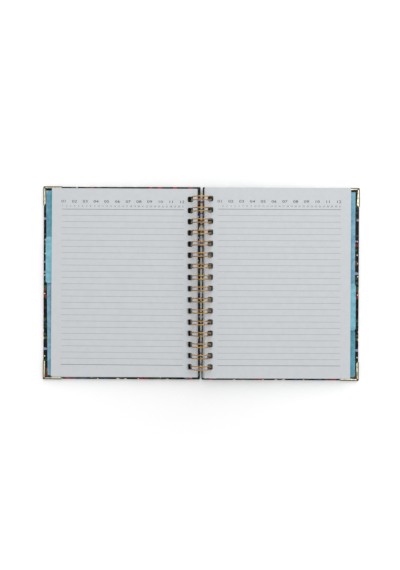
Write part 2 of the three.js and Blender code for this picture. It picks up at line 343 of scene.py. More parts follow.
class Shell:
    """One piece's surface, gathered patch by patch in (u, y, n) and then welded into a mesh."""

    def __init__(self) -> None:
        """Starts with no patches."""
        self.points: list[Array] = []
        self.triangles: list[Array] = []
        self.layout: list[Array] = []
        self.count = 0

    def add(
        self, points: Array, triangles: Array, layout: Optional[Array] = None, flip: bool = False
    ) -> None:
        """Adds a patch.

        Args:
            points: (N, 3) points in mm.
            triangles: (M, 3) indices into them, facing outwards.
            layout: (N, 2) places in the print's layout, in mm; the plan's own u and y by default.
            flip: whether the patch faces the other way.
        """
        self.points.append(points)
        self.triangles.append((triangles[:, ::-1] if flip else triangles) + self.count)
        self.layout.append(points[:, :2] if layout is None else layout)
        self.count += len(points)

    def wall(self, loop: Array, low: Any, high: Any) -> None:
        """Adds a wall along a loop, from the height low to the height high."""
        self.add(np.concatenate([at_height(loop, low), at_height(loop, high)]), grid_triangles(2, len(loop)))

    def sheet(
        self,
        loops: list[Array],
        low: float,
        high: float,
        lift: Callable[[Array], Any] = lambda plan: 0.0,
        creases: Optional[list[Array]] = None,
        loose: Optional[Array] = None,
    ) -> None:
        """Adds a closed sheet: a face below, one above and a wall along each loop, all raised by lift(u, y).

        Args:
            loops: the outline and its holes.
            low: height of its underside.
            high: height of its upper side.
            lift: how far it rises at (N, 2) plan points.
            creases: closed lines that its faces must follow.
            loose: further points in its faces.
        """
        plan, triangles = triangulate(loops, creases, loose)
        rise = lift(plan)
        self.add(at_height(plan, high + rise), triangles)
        self.add(at_height(plan, low + rise), triangles, flip=True)
        for loop in loops:
            self.wall(loop, low + lift(loop), high + lift(loop))

    def build(self, name: str, half: HalfFrame, lie: Lie, pivot: float, crisp: float = 35.0) -> Object:
        """Welds the patches, moves them by their lie and makes the mesh.

        Args:
            name: the piece's name.
            half: the half it lies in; the left one mirrors it, so its faces are turned round.
            lie: how it has shifted.
            pivot: u of its hole row.
            crisp: an edge bent by more than this, in degrees, is shaded as an edge.

        Returns:
            The new object, at the origin, with its place in its mesh.
        """
        points = np.concatenate(self.points)
        corners = np.concatenate(self.triangles)
        layout = (np.concatenate(self.layout)[corners.ravel()] * MM).reshape(-1, 3, 2)
        kept, faces, whole = weld(points, corners)
        faces, layout = faces[whole], layout[whole]
        if half.side is Side.LEFT:
            faces, layout = faces[:, ::-1], layout[:, ::-1]
        placed = half.place(lie.apply(points[kept], half.side, pivot))
        return mesh_object(name, placed, faces, layout.reshape(-1, 2), crisp)


def linked(name: str, data: Any) -> Object:
    """Makes an object of some data and links it to the scene.

    Args:
        name: the object's name.
        data: its mesh, lamp or camera.

    Returns:
        The object.
    """
    made = bpy.data.objects.new(name, data)
    bpy.context.scene.collection.objects.link(made)
    return made


def mesh_object(
    name: str, points: Array, faces: Array, layout: Optional[Array] = None, crisp: float = 35.0
) -> Object:
    """Makes a smooth-shaded mesh object from arrays.

    Args:
        name: its name.
        points: (N, 3) places in metres.
        faces: (M, K) indices.
        layout: one (u, v) pair for each face corner, for the print.
        crisp: an edge bent by more than this, in degrees, is shaded as an edge.

    Returns:
        The object, linked to the scene.
    """
    mesh = bpy.data.meshes.new(name)
    mesh.from_pydata(points.tolist(), [], faces.tolist())
    if layout is not None:
        mesh.uv_layers.new(name=PRINT_LAYOUT).uv.foreach_set("vector", layout.astype(np.float32).ravel())
    mesh.polygons.foreach_set("use_smooth", np.ones(len(faces), bool))
    mesh.set_sharp_from_angle(angle=math.radians(crisp))
    mesh.update()
    return linked(name, mesh)


# Finishes


def linear(colour: str) -> Colour:
    """Turns an sRGB colour into the linear light that shaders take.

    Args:
        colour: the colour as #RRGGBB.

    Returns:
        Its red, green, blue and alpha.
    """
    parts = np.array([int(colour[start:start + 2], 16) for start in (1, 3, 5)]) / 255
    light = np.where(parts <= 0.04045, parts / 12.92, ((parts + 0.055) / 1.055) ** 2.4)
    return (*light.tolist(), 1.0)


def node(
    tree: NodeTree,
    kind: str,
    inputs: Optional[dict[Any, Any]] = None,
    stops: Optional[list[tuple[float, Colour]]] = None,
    **settings: Any,
) -> Node:
    """Adds one shader node.

    Args:
        tree: the material's or world's nodes.
        kind: the node's type, without the ShaderNode that it begins with.
        inputs: each socket's name or number, with a value, an output, or a node that gives its first output.
        stops: a colour ramp's places and colours.
        settings: the node's own options.

    Returns:
        The node.
    """
    made = tree.nodes.new("ShaderNode" + kind)
    for option, value in settings.items():
        setattr(made, option, value)
    for key, value in (inputs or {}).items():
        source = value.outputs[0] if isinstance(value, Node) else value
        if isinstance(source, bpy.types.NodeSocket):
            tree.links.new(source, made.inputs[key])
        else:
            made.inputs[key].default_value = source
    if stops:
        ramp = made.color_ramp
        while len(ramp.elements) < len(stops):
            ramp.elements.new(1.0)
        for element, (place, colour) in zip(ramp.elements, stops):
            element.position = place
            element.color = colour
    return made


def emptied(owner: Any) -> NodeTree:
    """A material's or world's node tree, with its default nodes taken out.

    Args:
        owner: the material or world.

    Returns:
        The node tree, with nothing in it.
    """
    owner.use_nodes = True
    owner.node_tree.nodes.clear()
    return owner.node_tree


def faded(tree: NodeTree, reading: Any, limits: Pair, near_colour: str, far_colour: Any) -> Any:
    """Blends from one colour to another as a reading rises between two limits in mm.

    Args:
        tree: the material's nodes.
        reading: the output that is read, in metres.
        limits: where the near colour ends and where the far colour is full.
        near_colour: sRGB colour below the limits.
        far_colour: output for the colour beyond them.

    Returns:
        The blend's output.
    """
    far = node(tree, "MapRange", {"Value": reading, "From Min": limits[0] * MM, "From Max": limits[1] * MM})
    return node(tree, "Mix", {0: far, 6: linear(near_colour), 7: far_colour}, data_type="RGBA").outputs[2]


@dataclass(frozen=True)
class Finish:
    """A material: soft clouds pick its tone, and a fine grain gives it tooth and varies its gloss.

    Attributes:
        name: the real material.
        tones: places along the clouds' noise, with the sRGB colour at each.
        cloud_mm: size of the clouds.
        cloud_detail: how many finer octaves they have.
        warp: how much they are distorted.
        grain_mm: size of the grain; None where the clouds are fine enough to serve as grain.
        grain_detail: how many finer octaves it has.
        roughness: its mean roughness.
        gloss_spread: how far the roughness goes below and above that.
        gloss_by_clouds: whether the gloss varies with the clouds rather than with the grain.
        tooth: strength of the grain's relief.
        tooth_mm: depth of the grain's relief.
        specular: its specular level.
        metallic: 1 for bare metal.
    """

    name: str
    tones: Tones
    cloud_mm: float
    cloud_detail: float = 4.0
    warp: float = 0.0
    grain_mm: Optional[float] = None
    grain_detail: float = 2.0
    roughness: float = 0.5
    gloss_spread: Pair = (0.0, 0.0)
    gloss_by_clouds: bool = False
    tooth: float = 0.0
    tooth_mm: float = 0.0
    specular: float = 0.5
    metallic: float = 0.0

    def place(self, tree: NodeTree) -> Any:
        """Where a point is, for the noises: its place in the object's own space."""
        return node(tree, "TexCoord").outputs["Object"]

    def tone_source(self, tree: NodeTree, cloud: Node, grain: Node) -> Node:
        """What picks the tone: the clouds alone."""
        return cloud

    def laid_over(self, tree: NodeTree, place: Any, tone: Any, grain: Node) -> Any:
        """What the material lays over its tone: nothing here.

        Args:
            tree: the material's nodes.
            place: where a point is.
            tone: the tone's output.
            grain: the grain's noise.

        Returns:
            The output for the base colour.
        """
        return tone

    def build(self) -> Material:
        """Makes the material: the tones, whatever the finish lays over them, its gloss and its relief.

        Returns:
            The material.
        """
        material = bpy.data.materials.new(self.name)
        tree = emptied(material)
        place = self.place(tree)
        grain = cloud = node(tree, "TexNoise", {
            "Vector": place,
            "Scale": PER_METRE / self.cloud_mm,
            "Detail": self.cloud_detail,
            "Distortion": self.warp,
        })
        if self.grain_mm is not None:
            size = PER_METRE / self.grain_mm
            grain = node(tree, "TexNoise", {"Vector": place, "Scale": size, "Detail": self.grain_detail})
        stops = [(place_on_ramp, linear(colour)) for place_on_ramp, colour in self.tones]
        tone = node(tree, "ValToRGB", {"Fac": self.tone_source(tree, cloud, grain)}, stops)
        surface = {
            "Base Color": self.laid_over(tree, place, tone.outputs["Color"], grain),
            "Metallic": self.metallic,
            "Roughness": self.roughness,
            "Specular IOR Level": self.specular,
        }
        if any(self.gloss_spread):
            surface["Roughness"] = node(tree, "MapRange", {
                "Value": cloud if self.gloss_by_clouds else grain,
                "To Min": self.roughness - self.gloss_spread[0],
                "To Max": self.roughness + self.gloss_spread[1],
            })
        if self.tooth:
            relief = {"Height": grain, "Strength": self.tooth, "Distance": self.tooth_mm * MM}
            surface["Normal"] = node(tree, "Bump", relief)
        node(tree, "OutputMaterial", {"Surface": node(tree, "BsdfPrincipled", surface)})
        return material


@dataclass(frozen=True)
class PaperStock(Finish):
    """Uncoated offset paper: matt, faintly cool, with the soft cloudiness that its fibres settle into."""

    name: str = "uncoated_offset_paper"
    tones: Tones = ((0.40, "#C9CDD0"), (0.60, "#CDD1D4"))
    cloud_mm: float = 7.0
    grain_mm: Optional[float] = 0.6  # drawn coarser than real fibres, which would not show
    roughness: float = 0.93
    tooth: float = 0.25
    tooth_mm: float = 0.04
    specular: float = 0.25
    edge_colour: Optional[str] = None

    def tone_source(self, tree: NodeTree, cloud: Node, grain: Node) -> Node:
        """What picks the tone: the mean of the clouds and the fibres."""
        both = node(tree, "Math", {0: cloud, 1: grain}, operation="ADD")
        return node(tree, "Math", {0: both, 1: 0.5}, operation="MULTIPLY")

    def laid_over(self, tree: NodeTree, place: Any, tone: Any, grain: Node) -> Any:
        """Tints the cut edges of a block of leaves, where the layout marks them.

        Args:
            tree: the material's nodes.
            place: where a point is.
            tone: the tone's output.
            grain: the grain's noise.

        Returns:
            The output for the base colour.
        """
        if self.edge_colour is None:
            return tone
        along = node(tree, "SeparateXYZ", {"Vector": node(tree, "UVMap", uv_map=PRINT_LAYOUT)})
        cut = node(tree, "Math", {0: along, 1: CUT_EDGE * MM / 2}, operation="LESS_THAN")
        return node(tree, "Mix", {0: cut, 6: tone, 7: linear(self.edge_colour)}, data_type="RGBA").outputs[2]


@dataclass(frozen=True)
class TabCard(Finish):
    """Coated index card, printed a solid tint: smooth, with a satin sheen and slightly uneven ink."""

    cloud_mm: float = 5.0
    cloud_detail: float = 5.0
    grain_mm: Optional[float] = 0.9
    gloss_spread: Pair = (0.08, 0.1)
    tooth: float = 0.2
    tooth_mm: float = 0.03


@dataclass(frozen=True)
class BlottedEndpaper(Finish):
    """Matt text paper printed steel blue in watery blotches, pasted down inside the cover."""

    name: str = "blotted_blue_endpaper"
    tones: Tones = ((0.34, "#6A99B1"), (0.5, "#7CABC1"), (0.66, "#90BDD3"))
    cloud_mm: float = 9.0
    cloud_detail: float = 6.0
    warp: float = 0.9
    grain_mm: Optional[float] = 1.4
    grain_detail: float = 3.0
    roughness: float = 0.82
    tooth: float = 0.2
    tooth_mm: float = 0.05
    specular: float = 0.3
    fleck_colour: str = "#A9CAD8"
    fleck_from: Pair = (0.55, 0.75)
    fleck_cover: float = 0.35
    # Painted shade: near black within this band of the spine, so that the holes look deep.
    spine_colour: str = "#1A1610"
    spine_band: Pair = (16.0, 17.0)

    def laid_over(self, tree: NodeTree, place: Any, tone: Any, grain: Node) -> Any:
        """Pales the peaks of the grain into flecks, and paints a dark band of shade along the spine, where the
        endpaper is seen only down the holes.

        Args:
            tree: the material's nodes.
            place: where a point is.
            tone: the tone's output.
            grain: the grain's noise.

        Returns:
            The output for the base colour.
        """
        flecks = node(tree, "MapRange", {
            "Value": grain,
            "From Min": self.fleck_from[0],
            "From Max": self.fleck_from[1],
            "To Max": self.fleck_cover,
        })
        colours = {0: flecks, 6: tone, 7: linear(self.fleck_colour)}
        flecked = node(tree, "Mix", colours, data_type="RGBA").outputs[2]
        # Painted shade along the spine, for the dark inside of the holes.
        out = node(tree, "Math", {0: node(tree, "SeparateXYZ", {"Vector": place})}, operation="ABSOLUTE")
        return faded(tree, out, self.spine_band, self.spine_colour, flecked)


@dataclass(frozen=True)
class Scatter:
    """One scatter of printed shapes on the covers: at most one shape in each cell of an uneven grid.

    Attributes:
        motif: the kind of shape.
        cell_mm: the grid's pitch.
        radius_mm: the shape's half size.
        keep: the share of the cells that have one.
        turn: which way a leaf points, in degrees.
        colours: the inks that the shapes are printed in.
    """

    motif: Motif
    cell_mm: float
    radius_mm: float
    keep: float
    turn: float
    colours: tuple[str, ...]


@dataclass(frozen=True)
class PrintedWrap(Finish):
    """Laminated printed paper round the boards: near-black ground, gloss film, small bright shapes."""

    name: str = "laminated_printed_wrap"
    tones: Tones = ((0.42, "#08090B"), (0.66, "#0F1612"))
    cloud_mm: float = 14.0
    grain_mm: Optional[float] = 0.8  # drawn coarser than the film's real orange peel
    roughness: float = 0.36
    gloss_spread: Pair = (0.06, 0.12)
    gloss_by_clouds: bool = True
    tooth: float = 0.15
    tooth_mm: float = 0.04
    specular: float = 0.14
    unevenness: float = 0.75
    leaf_squeeze: float = 2.4
    ring_hollow: float = 0.55
    scatters: tuple[Scatter, ...] = (
        Scatter(Motif.LEAF, 8.5, 3.4, 0.48, 34.0, ("#2C3F26", "#43552F", "#22382C")),
        Scatter(Motif.LEAF, 10.5, 3.6, 0.30, -52.0, ("#7A2A22", "#3C5032", "#8E8FA6")),
        Scatter(Motif.DISC, 9.5, 2.3, 0.30, 0.0, ("#A81E40", "#DDBFC2", "#9C9DB2", "#C9B98C")),
        Scatter(Motif.RING, 12.0, 2.8, 0.26, 0.0, ("#E2D6B4", "#B02346", "#1B4C86")),
        Scatter(Motif.DISC, 4.2, 0.8, 0.26, 0.0, ("#D9CFB0", "#8C2430", "#174273", "#C7A9B0")),
    )

    def place(self, tree: NodeTree) -> Any:
        """Where a point is: its place in the print's layout, which runs on over the cover's edges."""
        return node(tree, "UVMap", uv_map=PRINT_LAYOUT).outputs["UV"]

    def shapes(self, tree: NodeTree, place: Any, scatter: Scatter) -> tuple[Node, Node]:
        """Draws one scatter: Voronoi cells give each shape's distance field and its own random numbers.

        Args:
            tree: the material's nodes.
            place: the print's layout.
            scatter: the shapes.

        Returns:
            Nodes for where the shapes are, and for their colour.
        """
        squeeze = self.leaf_squeeze if scatter.motif is Motif.LEAF else 1.0
        laid = node(tree, "Mapping", {
            "Vector": place,
            "Rotation": (0.0, 0.0, math.radians(scatter.turn)),
            "Scale": (1.0, squeeze, 1.0),
        })
        cells = node(tree, "TexVoronoi", {
            "Vector": laid,
            "Scale": PER_METRE / scatter.cell_mm,
            "Randomness": self.unevenness,
        }, voronoi_dimensions="2D")
        chance = node(tree, "SeparateColor", {"Color": cells.outputs["Color"]})
        distance, radius = cells.outputs["Distance"], scatter.radius_mm / scatter.cell_mm
        where = node(tree, "Math", {0: distance, 1: radius}, operation="LESS_THAN")
        limits = [(chance.outputs["Red"], scatter.keep, "LESS_THAN")]
        if scatter.motif is Motif.RING:
            limits.append((distance, radius * self.ring_hollow, "GREATER_THAN"))
        for reading, limit, test in limits:
            also = node(tree, "Math", {0: reading, 1: limit}, operation=test)
            where = node(tree, "Math", {0: where, 1: also}, operation="MULTIPLY")
        count = len(scatter.colours)
        stops = [(index / count, linear(colour)) for index, colour in enumerate(scatter.colours)]
        inks = node(tree, "ValToRGB", {"Fac": chance.outputs["Green"]}, stops)
        inks.color_ramp.interpolation = "CONSTANT"
        return where, inks

    def laid_over(self, tree: NodeTree, place: Any, tone: Any, grain: Node) -> Any:
        """Prints each scatter over the ground and the scatters before it.

        Args:
            tree: the material's nodes.
            place: where a point is.
            tone: the tone's output.
            grain: the grain's noise.

        Returns:
            The output for the base colour.
        """
        for scatter in self.scatters:
            where, ink = self.shapes(tree, place, scatter)
            tone = node(tree, "Mix", {0: where, 6: tone, 7: ink}, data_type="RGBA").outputs[2]
        return tone


@dataclass(frozen=True)
class GreyBoard(Finish):
    """Raw recycled binder's board: dull grey with lighter and darker flecks of old print."""

    name: str = "recycled_grey_board"
    tones: Tones = ((0.3, "#5F5D57"), (0.45, "#8B8982"), (0.6, "#8B8982"), (0.72, "#AAA79E"))
    cloud_mm: float = 0.9
    cloud_detail: float = 5.0
    roughness: float = 0.95
    tooth: float = 0.5
    tooth_mm: float = 0.1
    specular: float = 0.2


@dataclass(frozen=True)
class PlatedMetal(Finish):
    """Bright plated or lacquered steel: smooth, with a faintly uneven plating and fine handling scuffs."""

    cloud_mm: float = 2.5
    grain_mm: Optional[float] = 0.5
    grain_detail: float = 3.0
    gloss_spread: Pair = (0.07, 0.13)
    tooth: float = 0.12
    tooth_mm: float = 0.03
    metallic: float = 1.0
    # Painted dark reflection on the rolled edge and painted shadow line along the flap's lip, in this colour.
    rim_colour: Optional[str] = None
    rim_mm: float = 0.0
    lip_mm: float = 0.0
    rim_fade: Pair = (0.75, 1.15)  # shares of the rim's and the lip's widths where their painted shade begins and has ended
    # Painted shade and dark reflection low down on the wire, where it runs into the holes and under the covers.
    worn_colour: Optional[str] = None
    worn_heights: Pair = (0.0, 0.0)

    def laid_over(self, tree: NodeTree, place: Any, tone: Any, grain: Node) -> Any:
        """Paints a dark reflection on the rolled edge and a shadow line along the flap's lip, and a browner
        painted shade low down, where the wire passes into the holes and under the covers.

        Args:
            tree: the material's nodes.
            place: where a point is.
            tone: the tone's output.
            grain: the grain's noise.

        Returns:
            The output for the base colour.
        """
        # Painted dark reflection on the rolled edge, painted shadow line along the lip.
        if self.rim_colour:
            laid = node(tree, "SeparateXYZ", {"Vector": node(tree, "UVMap", uv_map=PRINT_LAYOUT)})
            for axis, reach in (("X", self.lip_mm), ("Y", self.rim_mm)):
                limits = (reach * self.rim_fade[0], reach * self.rim_fade[1])
                tone = faded(tree, laid.outputs[axis], limits, self.rim_colour, tone)
        # Painted shade on the wire below these heights.
        if self.worn_colour:
            height = node(tree, "SeparateXYZ", {"Vector": place}).outputs["Z"]
            tone = faded(tree, height, self.worn_heights, self.worn_colour, tone)
        return tone


@dataclass(frozen=True)
class PrintingInk(Finish):
    """Offset ink on uncoated paper: matt, and slightly broken where it sinks into the fibres."""

    cloud_mm: float = 0.4
    cloud_detail: float = 2.0
    roughness: float = 0.85
    specular: float = 0.3


def build_finishes() -> Finishes:
    """Makes every material of the planner once, and names each for what it covers.

    Returns:
        The materials, each under the name of what it covers.
    """
    finishes = {
        "page": PaperStock(),
        "block": PaperStock("stacked_offset_paper", edge_colour="#C5D5DC"),
        "light_tab_card": TabCard("pale_blue_index_card", ((0.36, "#68A5B9"), (0.62, "#7EBCCA"))),
        # The darker teal card is the pale card with painted shade, for the divider that lies lower on each side.
        "dark_tab_card": TabCard("teal_index_card", ((0.36, "#44879B"), (0.62, "#5A9FB1"))),
        "endpaper": BlottedEndpaper(),
        "wrap": PrintedWrap(),
        "board": GreyBoard(),
        # Corners: painted dark reflection on the rolled edge and painted shadow line along the flap's lip.
        "corner": PlatedMetal(
            "pale_gold_plated_steel", ((0.34, "#ADA887"), (0.58, "#E3DFC2")), roughness=0.27,
            rim_colour="#332E1A", rim_mm=1.2, lip_mm=0.75,
        ),
        # Wire: browner painted shade low down, where it passes into the holes and under the covers.
        "wire": PlatedMetal(
            "gold_lacquered_wire", ((0.34, "#7A5320"), (0.58, "#C08F40")), cloud_mm=2.6, grain_mm=0.4,
            roughness=0.2, worn_colour="#54401F", worn_heights=(11.5, 19.0),
        ),
        "month_numbers": PrintingInk("dark_grey_ink", ((0.35, "#3A3C3F"), (0.55, "#26272A"))),
        "day_numbers": PrintingInk("grey_ink", ((0.35, "#6C6E71"), (0.55, "#585A5D"))),
        "heavy_rules": PrintingInk("mid_grey_ink", ((0.35, "#7C7E82"), (0.55, "#6A6C70"))),
        "page_rules": PrintingInk("pale_grey_ink", ((0.35, "#A5A8AB"), (0.55, "#94979A"))),
    }
    return {cover: finish.build() for cover, finish in finishes.items()}


def dress(made: Object, material: Material, body: str, slot: str, stands_for: tuple[str, ...] = ()) -> None:
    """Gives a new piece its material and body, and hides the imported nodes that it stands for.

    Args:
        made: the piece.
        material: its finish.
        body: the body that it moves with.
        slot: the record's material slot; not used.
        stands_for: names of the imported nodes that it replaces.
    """
    made.data.materials.append(material)
    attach(made, body)
    if stands_for:
        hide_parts(*stands_for)
    LOG.info("%s: %d triangles, moves with %s", made.name, len(made.data.polygons), body)


# Sub-assemblies


@dataclass(frozen=True)
class RingGeometry:
    """The closed wire rings that every sheet hangs on, from which the holes take their places.

    Attributes:
        axis_height: the ring's axis above the table, in mm.
        wire_radius: radius of the wire itself.
        pitch: from one twin finger to the next.
        count: number of twin fingers.
        finger_spacing: between the two legs of a finger.
    """

    axis_height: float
    wire_radius: float = 0.6
    pitch: float = 12.7
    count: int = 16
    finger_spacing: float = 3.8

    @property
    def radius(self) -> float:
        """Radius of the wire's centre line: the lowest wire rests on the table."""
        return self.axis_height - self.wire_radius

    @property
    def places(self) -> Array:
        """The y of each finger's middle, from the tail."""
        return (np.arange(self.count) - (self.count - 1) / 2) * self.pitch

    def chord(self, height: float) -> float:
        """How far out the wire's centre line is at a height measured from the axis."""
        return math.sqrt(self.radius ** 2 - height ** 2)

    def half_cut(self, height: float) -> float:
        """Half the length of the oval in which the slanting wire cuts a sheet at this height."""
        return self.wire_radius * self.radius / self.chord(height)


@dataclass
class Cover:
    """A hard cover: grey board, printed wrap with its turn-ins, pasted endpaper and two metal corners."""

    name: str
    half: HalfFrame
    ring: RingGeometry
    finishes: Finishes
    lie: Lie
    wrap: float = 0.3
    board_play: float = 0.2  # how far the board's outline is set in from its solid's
    arris: float = 0.6
    plan_radius: float = 0.9
    least_plan_radius: float = 0.05
    arc_steps: int = 6
    turn_in: float = 15.0
    endpaper: float = 0.2
    endpaper_inset: float = 4.5
    endpaper_step: float = 0.8
    endpaper_reach: Pair = (0.0, 0.0)  # how much further out it lies at the tail and the head
    crease_rows: int = 5
    crease_step: float = 12.0
    flap_flare: float = 0.03  # how fast the metal corners' flaps widen along their legs
    hole_half_height: float = 3.4
    hole_play: float = 0.9
    hole_corner: float = 0.7
    hole_power: float = 3.0
    hole_steps: int = 28
    board_hole_play: float = 0.12
    low: Array = field(init=False)
    high: Array = field(init=False)
    pivot: float = field(init=False)
    hole_sizes: Pair = field(init=False)

    def __post_init__(self) -> None:
        """Takes its size from its packed wrap, and its holes from where the slanting wire passes it."""
        self.low, self.high = self.half.span(f"{self.name}_cover_wrap")
        top = self.half.span(f"{self.name}_cover_endpaper")[1][2]
        near = self.ring.chord(self.low[2]) - self.ring.half_cut(self.low[2])
        far = self.ring.chord(top) + self.ring.half_cut(top)
        self.pivot = (near + far) / 2
        self.hole_sizes = ((far - near) / 2 + self.hole_play + self.hole_corner, self.hole_half_height)

    def outline(self, inset: float) -> Array:
        """The cover's plan set in by a distance, its round corners shrinking about their centres."""
        radius = max(self.plan_radius - inset, self.least_plan_radius)
        return rounded_rectangle(self.low[:2] + inset, self.high[:2] - inset, radius, 2 * self.arc_steps)

    def hole_row(self, wider: float = 0.0) -> list[Array]:
        """The cover's punched holes, opened out by wider on every side."""
        half_sizes = (self.hole_sizes[0] + wider, self.hole_sizes[1] + wider)
        return holes(self.pivot, self.ring.places, half_sizes, self.hole_power, self.hole_steps)

    def finish(self, shell: Shell, name: str, crisp: float = 35.0) -> Object:
        """Makes the object of one of the cover's surfaces."""
        return shell.build(f"{self.name}_{name}", self.half, self.lie, self.pivot, crisp)

    def wrapped_edge(self, shell: Shell, inset: float) -> float:
        """Adds the wrap's edge: a quarter round, the wall and a quarter round, with the print run over it.

        Args:
            shell: the wrap's surface.
            inset: 0 for its outside, or the wrap's thickness for its inner side.

        Returns:
            The profile's length, in mm.
        """
        turns = np.linspace(0, math.pi / 2, self.arc_steps)
        radius = self.arris - inset
        below, above = self.low[2] + self.arris, self.high[2] - self.arris
        insets = np.concatenate([self.arris - radius * np.sin(turns), self.arris - radius * np.cos(turns)])
        heights = np.concatenate([below - radius * np.cos(turns), above + radius * np.sin(turns)])
        run = np.concatenate([[0], np.cumsum(np.hypot(np.diff(insets), np.diff(heights)))])
        start = self.outline(self.arris)
        rings = np.concatenate([at_height(self.outline(i), h) for i, h in zip(insets, heights)])
        layout = np.concatenate([start + outward(start) * length for length in run])
        shell.add(rings, grid_triangles(len(insets), len(start)), layout, flip=inset > 0)
        return float(run[-1])

    def turn_ins(self, shell: Shell, run: float) -> None:
        """Adds the four mitred turn-ins, with the print folded back over the edge, and the window's wall.

        Args:
            shell: the wrap's surface.
            run: the print's length round the cover's edge.
        """
        outer = np.roll(self.outline(self.arris), -self.arc_steps, axis=0)
        window = rectangle(self.low[:2] + self.turn_in, self.high[:2] - self.turn_in)
        share = len(outer) // len(Edge)
        for index, edge in enumerate(Edge):
            along = outer[np.arange(index * share, (index + 1) * share + 1) % len(outer)]
            strip = np.concatenate([along, window[[(index + 1) % len(Edge), index]]])
            plan, triangles = triangulate([strip, *(self.hole_row() if edge is Edge.SPINE else [])])
            away = np.array(edge.value)
            limit = float((self.high[:2] * np.maximum(away, 0) - self.low[:2] * np.maximum(-away, 0)).sum())
            depth = limit - self.arris - plan @ away
            shell.add(at_height(plan, self.high[2]), triangles, plan + away * (run + 2 * depth[:, None]))
        under = self.high[2] - self.wrap
        hidden, triangles = triangulate([self.outline(self.arris), window[::-1], *self.hole_row()])
        shell.add(at_height(hidden, under), triangles, flip=True)
        shell.wall(window[::-1], under, self.high[2])

    def build_wrap(self) -> Object:
        """The printed wrap: outer face, rounded edges and turn-ins, a closed skin with holes through it.

        Returns:
            The wrap.
        """
        shell = Shell()
        plan, triangles = triangulate([self.outline(self.arris), *self.hole_row()])
        shell.add(at_height(plan, self.low[2]), triangles, flip=True)
        shell.add(at_height(plan, self.low[2] + self.wrap), triangles)
        self.turn_ins(shell, self.wrapped_edge(shell, 0.0))
        self.wrapped_edge(shell, self.wrap)
        for hole in self.hole_row():
            shell.wall(hole, self.low[2], self.low[2] + self.wrap)
            shell.wall(hole, self.high[2] - self.wrap, self.high[2])
        return self.finish(shell, "printed_wrap")

    def build_board(self) -> Object:
        """The board: a plain plate under the wrap, its holes a little wider than the wrap's.

        Returns:
            The board.
        """
        low, high = self.half.span(f"{self.name}_cover_board")
        shell = Shell()
        outline = rectangle(low[:2] + self.board_play, high[:2] - self.board_play)
        shell.sheet([outline, *self.hole_row(self.board_hole_play)], low[2], high[2])
        return self.finish(shell, "grey_board")

    def endpaper_outline(self) -> Array:
        """The endpaper's outline: its spine edge runs through the holes, so each bites an arc out of it.

        Returns:
            The outline's plan points, in mm.
        """
        low, high = self.low[:2] + self.endpaper_inset, self.high[:2] - self.endpaper_inset
        reach = abs((low[0] - self.pivot) / self.hole_sizes[0]) ** (self.hole_power / 2)
        turn = math.pi - math.acos(reach)
        turns = np.linspace(turn, -turn, self.hole_steps)
        places = self.ring.places[::-1]
        bites = [oval(self.pivot, place, self.hole_sizes, self.hole_power, turns) for place in places]
        corners = rectangle(low, high)
        corners[:2, 0] += self.endpaper_reach
        return np.concatenate([corners[:3], *bites, corners[3:]])

    def build_endpaper(self) -> Object:
        """The endpaper: flat on the turn-ins, easing down onto the board by half a cosine inside them.

        Returns:
            The endpaper.
        """
        low, high = self.half.span(f"{self.name}_cover_endpaper")
        drop = high[2] - low[2] - self.endpaper

        def lift(plan: Array) -> Array:
            """How far the sheet lies below the turn-ins' level at each plan point, as a negative lift.

            Args:
                plan: the plan points.

            Returns:
                The lift at each of them, in mm.
            """
            inset = np.minimum(plan - self.low[:2], self.high[:2] - plan).min(axis=1)
            part = np.clip((inset - self.turn_in) / self.endpaper_step, 0, 1)
            return -drop * (1 - np.cos(math.pi * part)) / 2

        creases = [
            sampled(rectangle(self.low[:2] + inset, self.high[:2] - inset), self.crease_step)
            for inset in self.turn_in + self.endpaper_step * np.linspace(0, 1, self.crease_rows)
        ]
        shell = Shell()
        shell.sheet([self.endpaper_outline()], high[2] - self.endpaper, high[2], lift, creases)
        return self.finish(shell, "endpaper", crisp=25.0)

    def make(self) -> None:
        """Builds and dresses the cover's sheets and its two metal corners."""
        body = f"{self.name}_cover"
        dress(self.build_board(), self.finishes["board"], body, "grey_board", (f"{body}_board",))
        dress(self.build_wrap(), self.finishes["wrap"], body, "printed_wrap", (f"{body}_wrap",))
        dress(self.build_endpaper(), self.finishes["endpaper"], body, "blue_endpaper", (f"{body}_endpaper",))
        for end in End:
            stands_for = f"{self.name}_corner_{end.name.lower()}"
            corner = MetalCorner(self, end).build()
            dress(corner, self.finishes["corner"], body, "pale_gold_corner", (stands_for,))


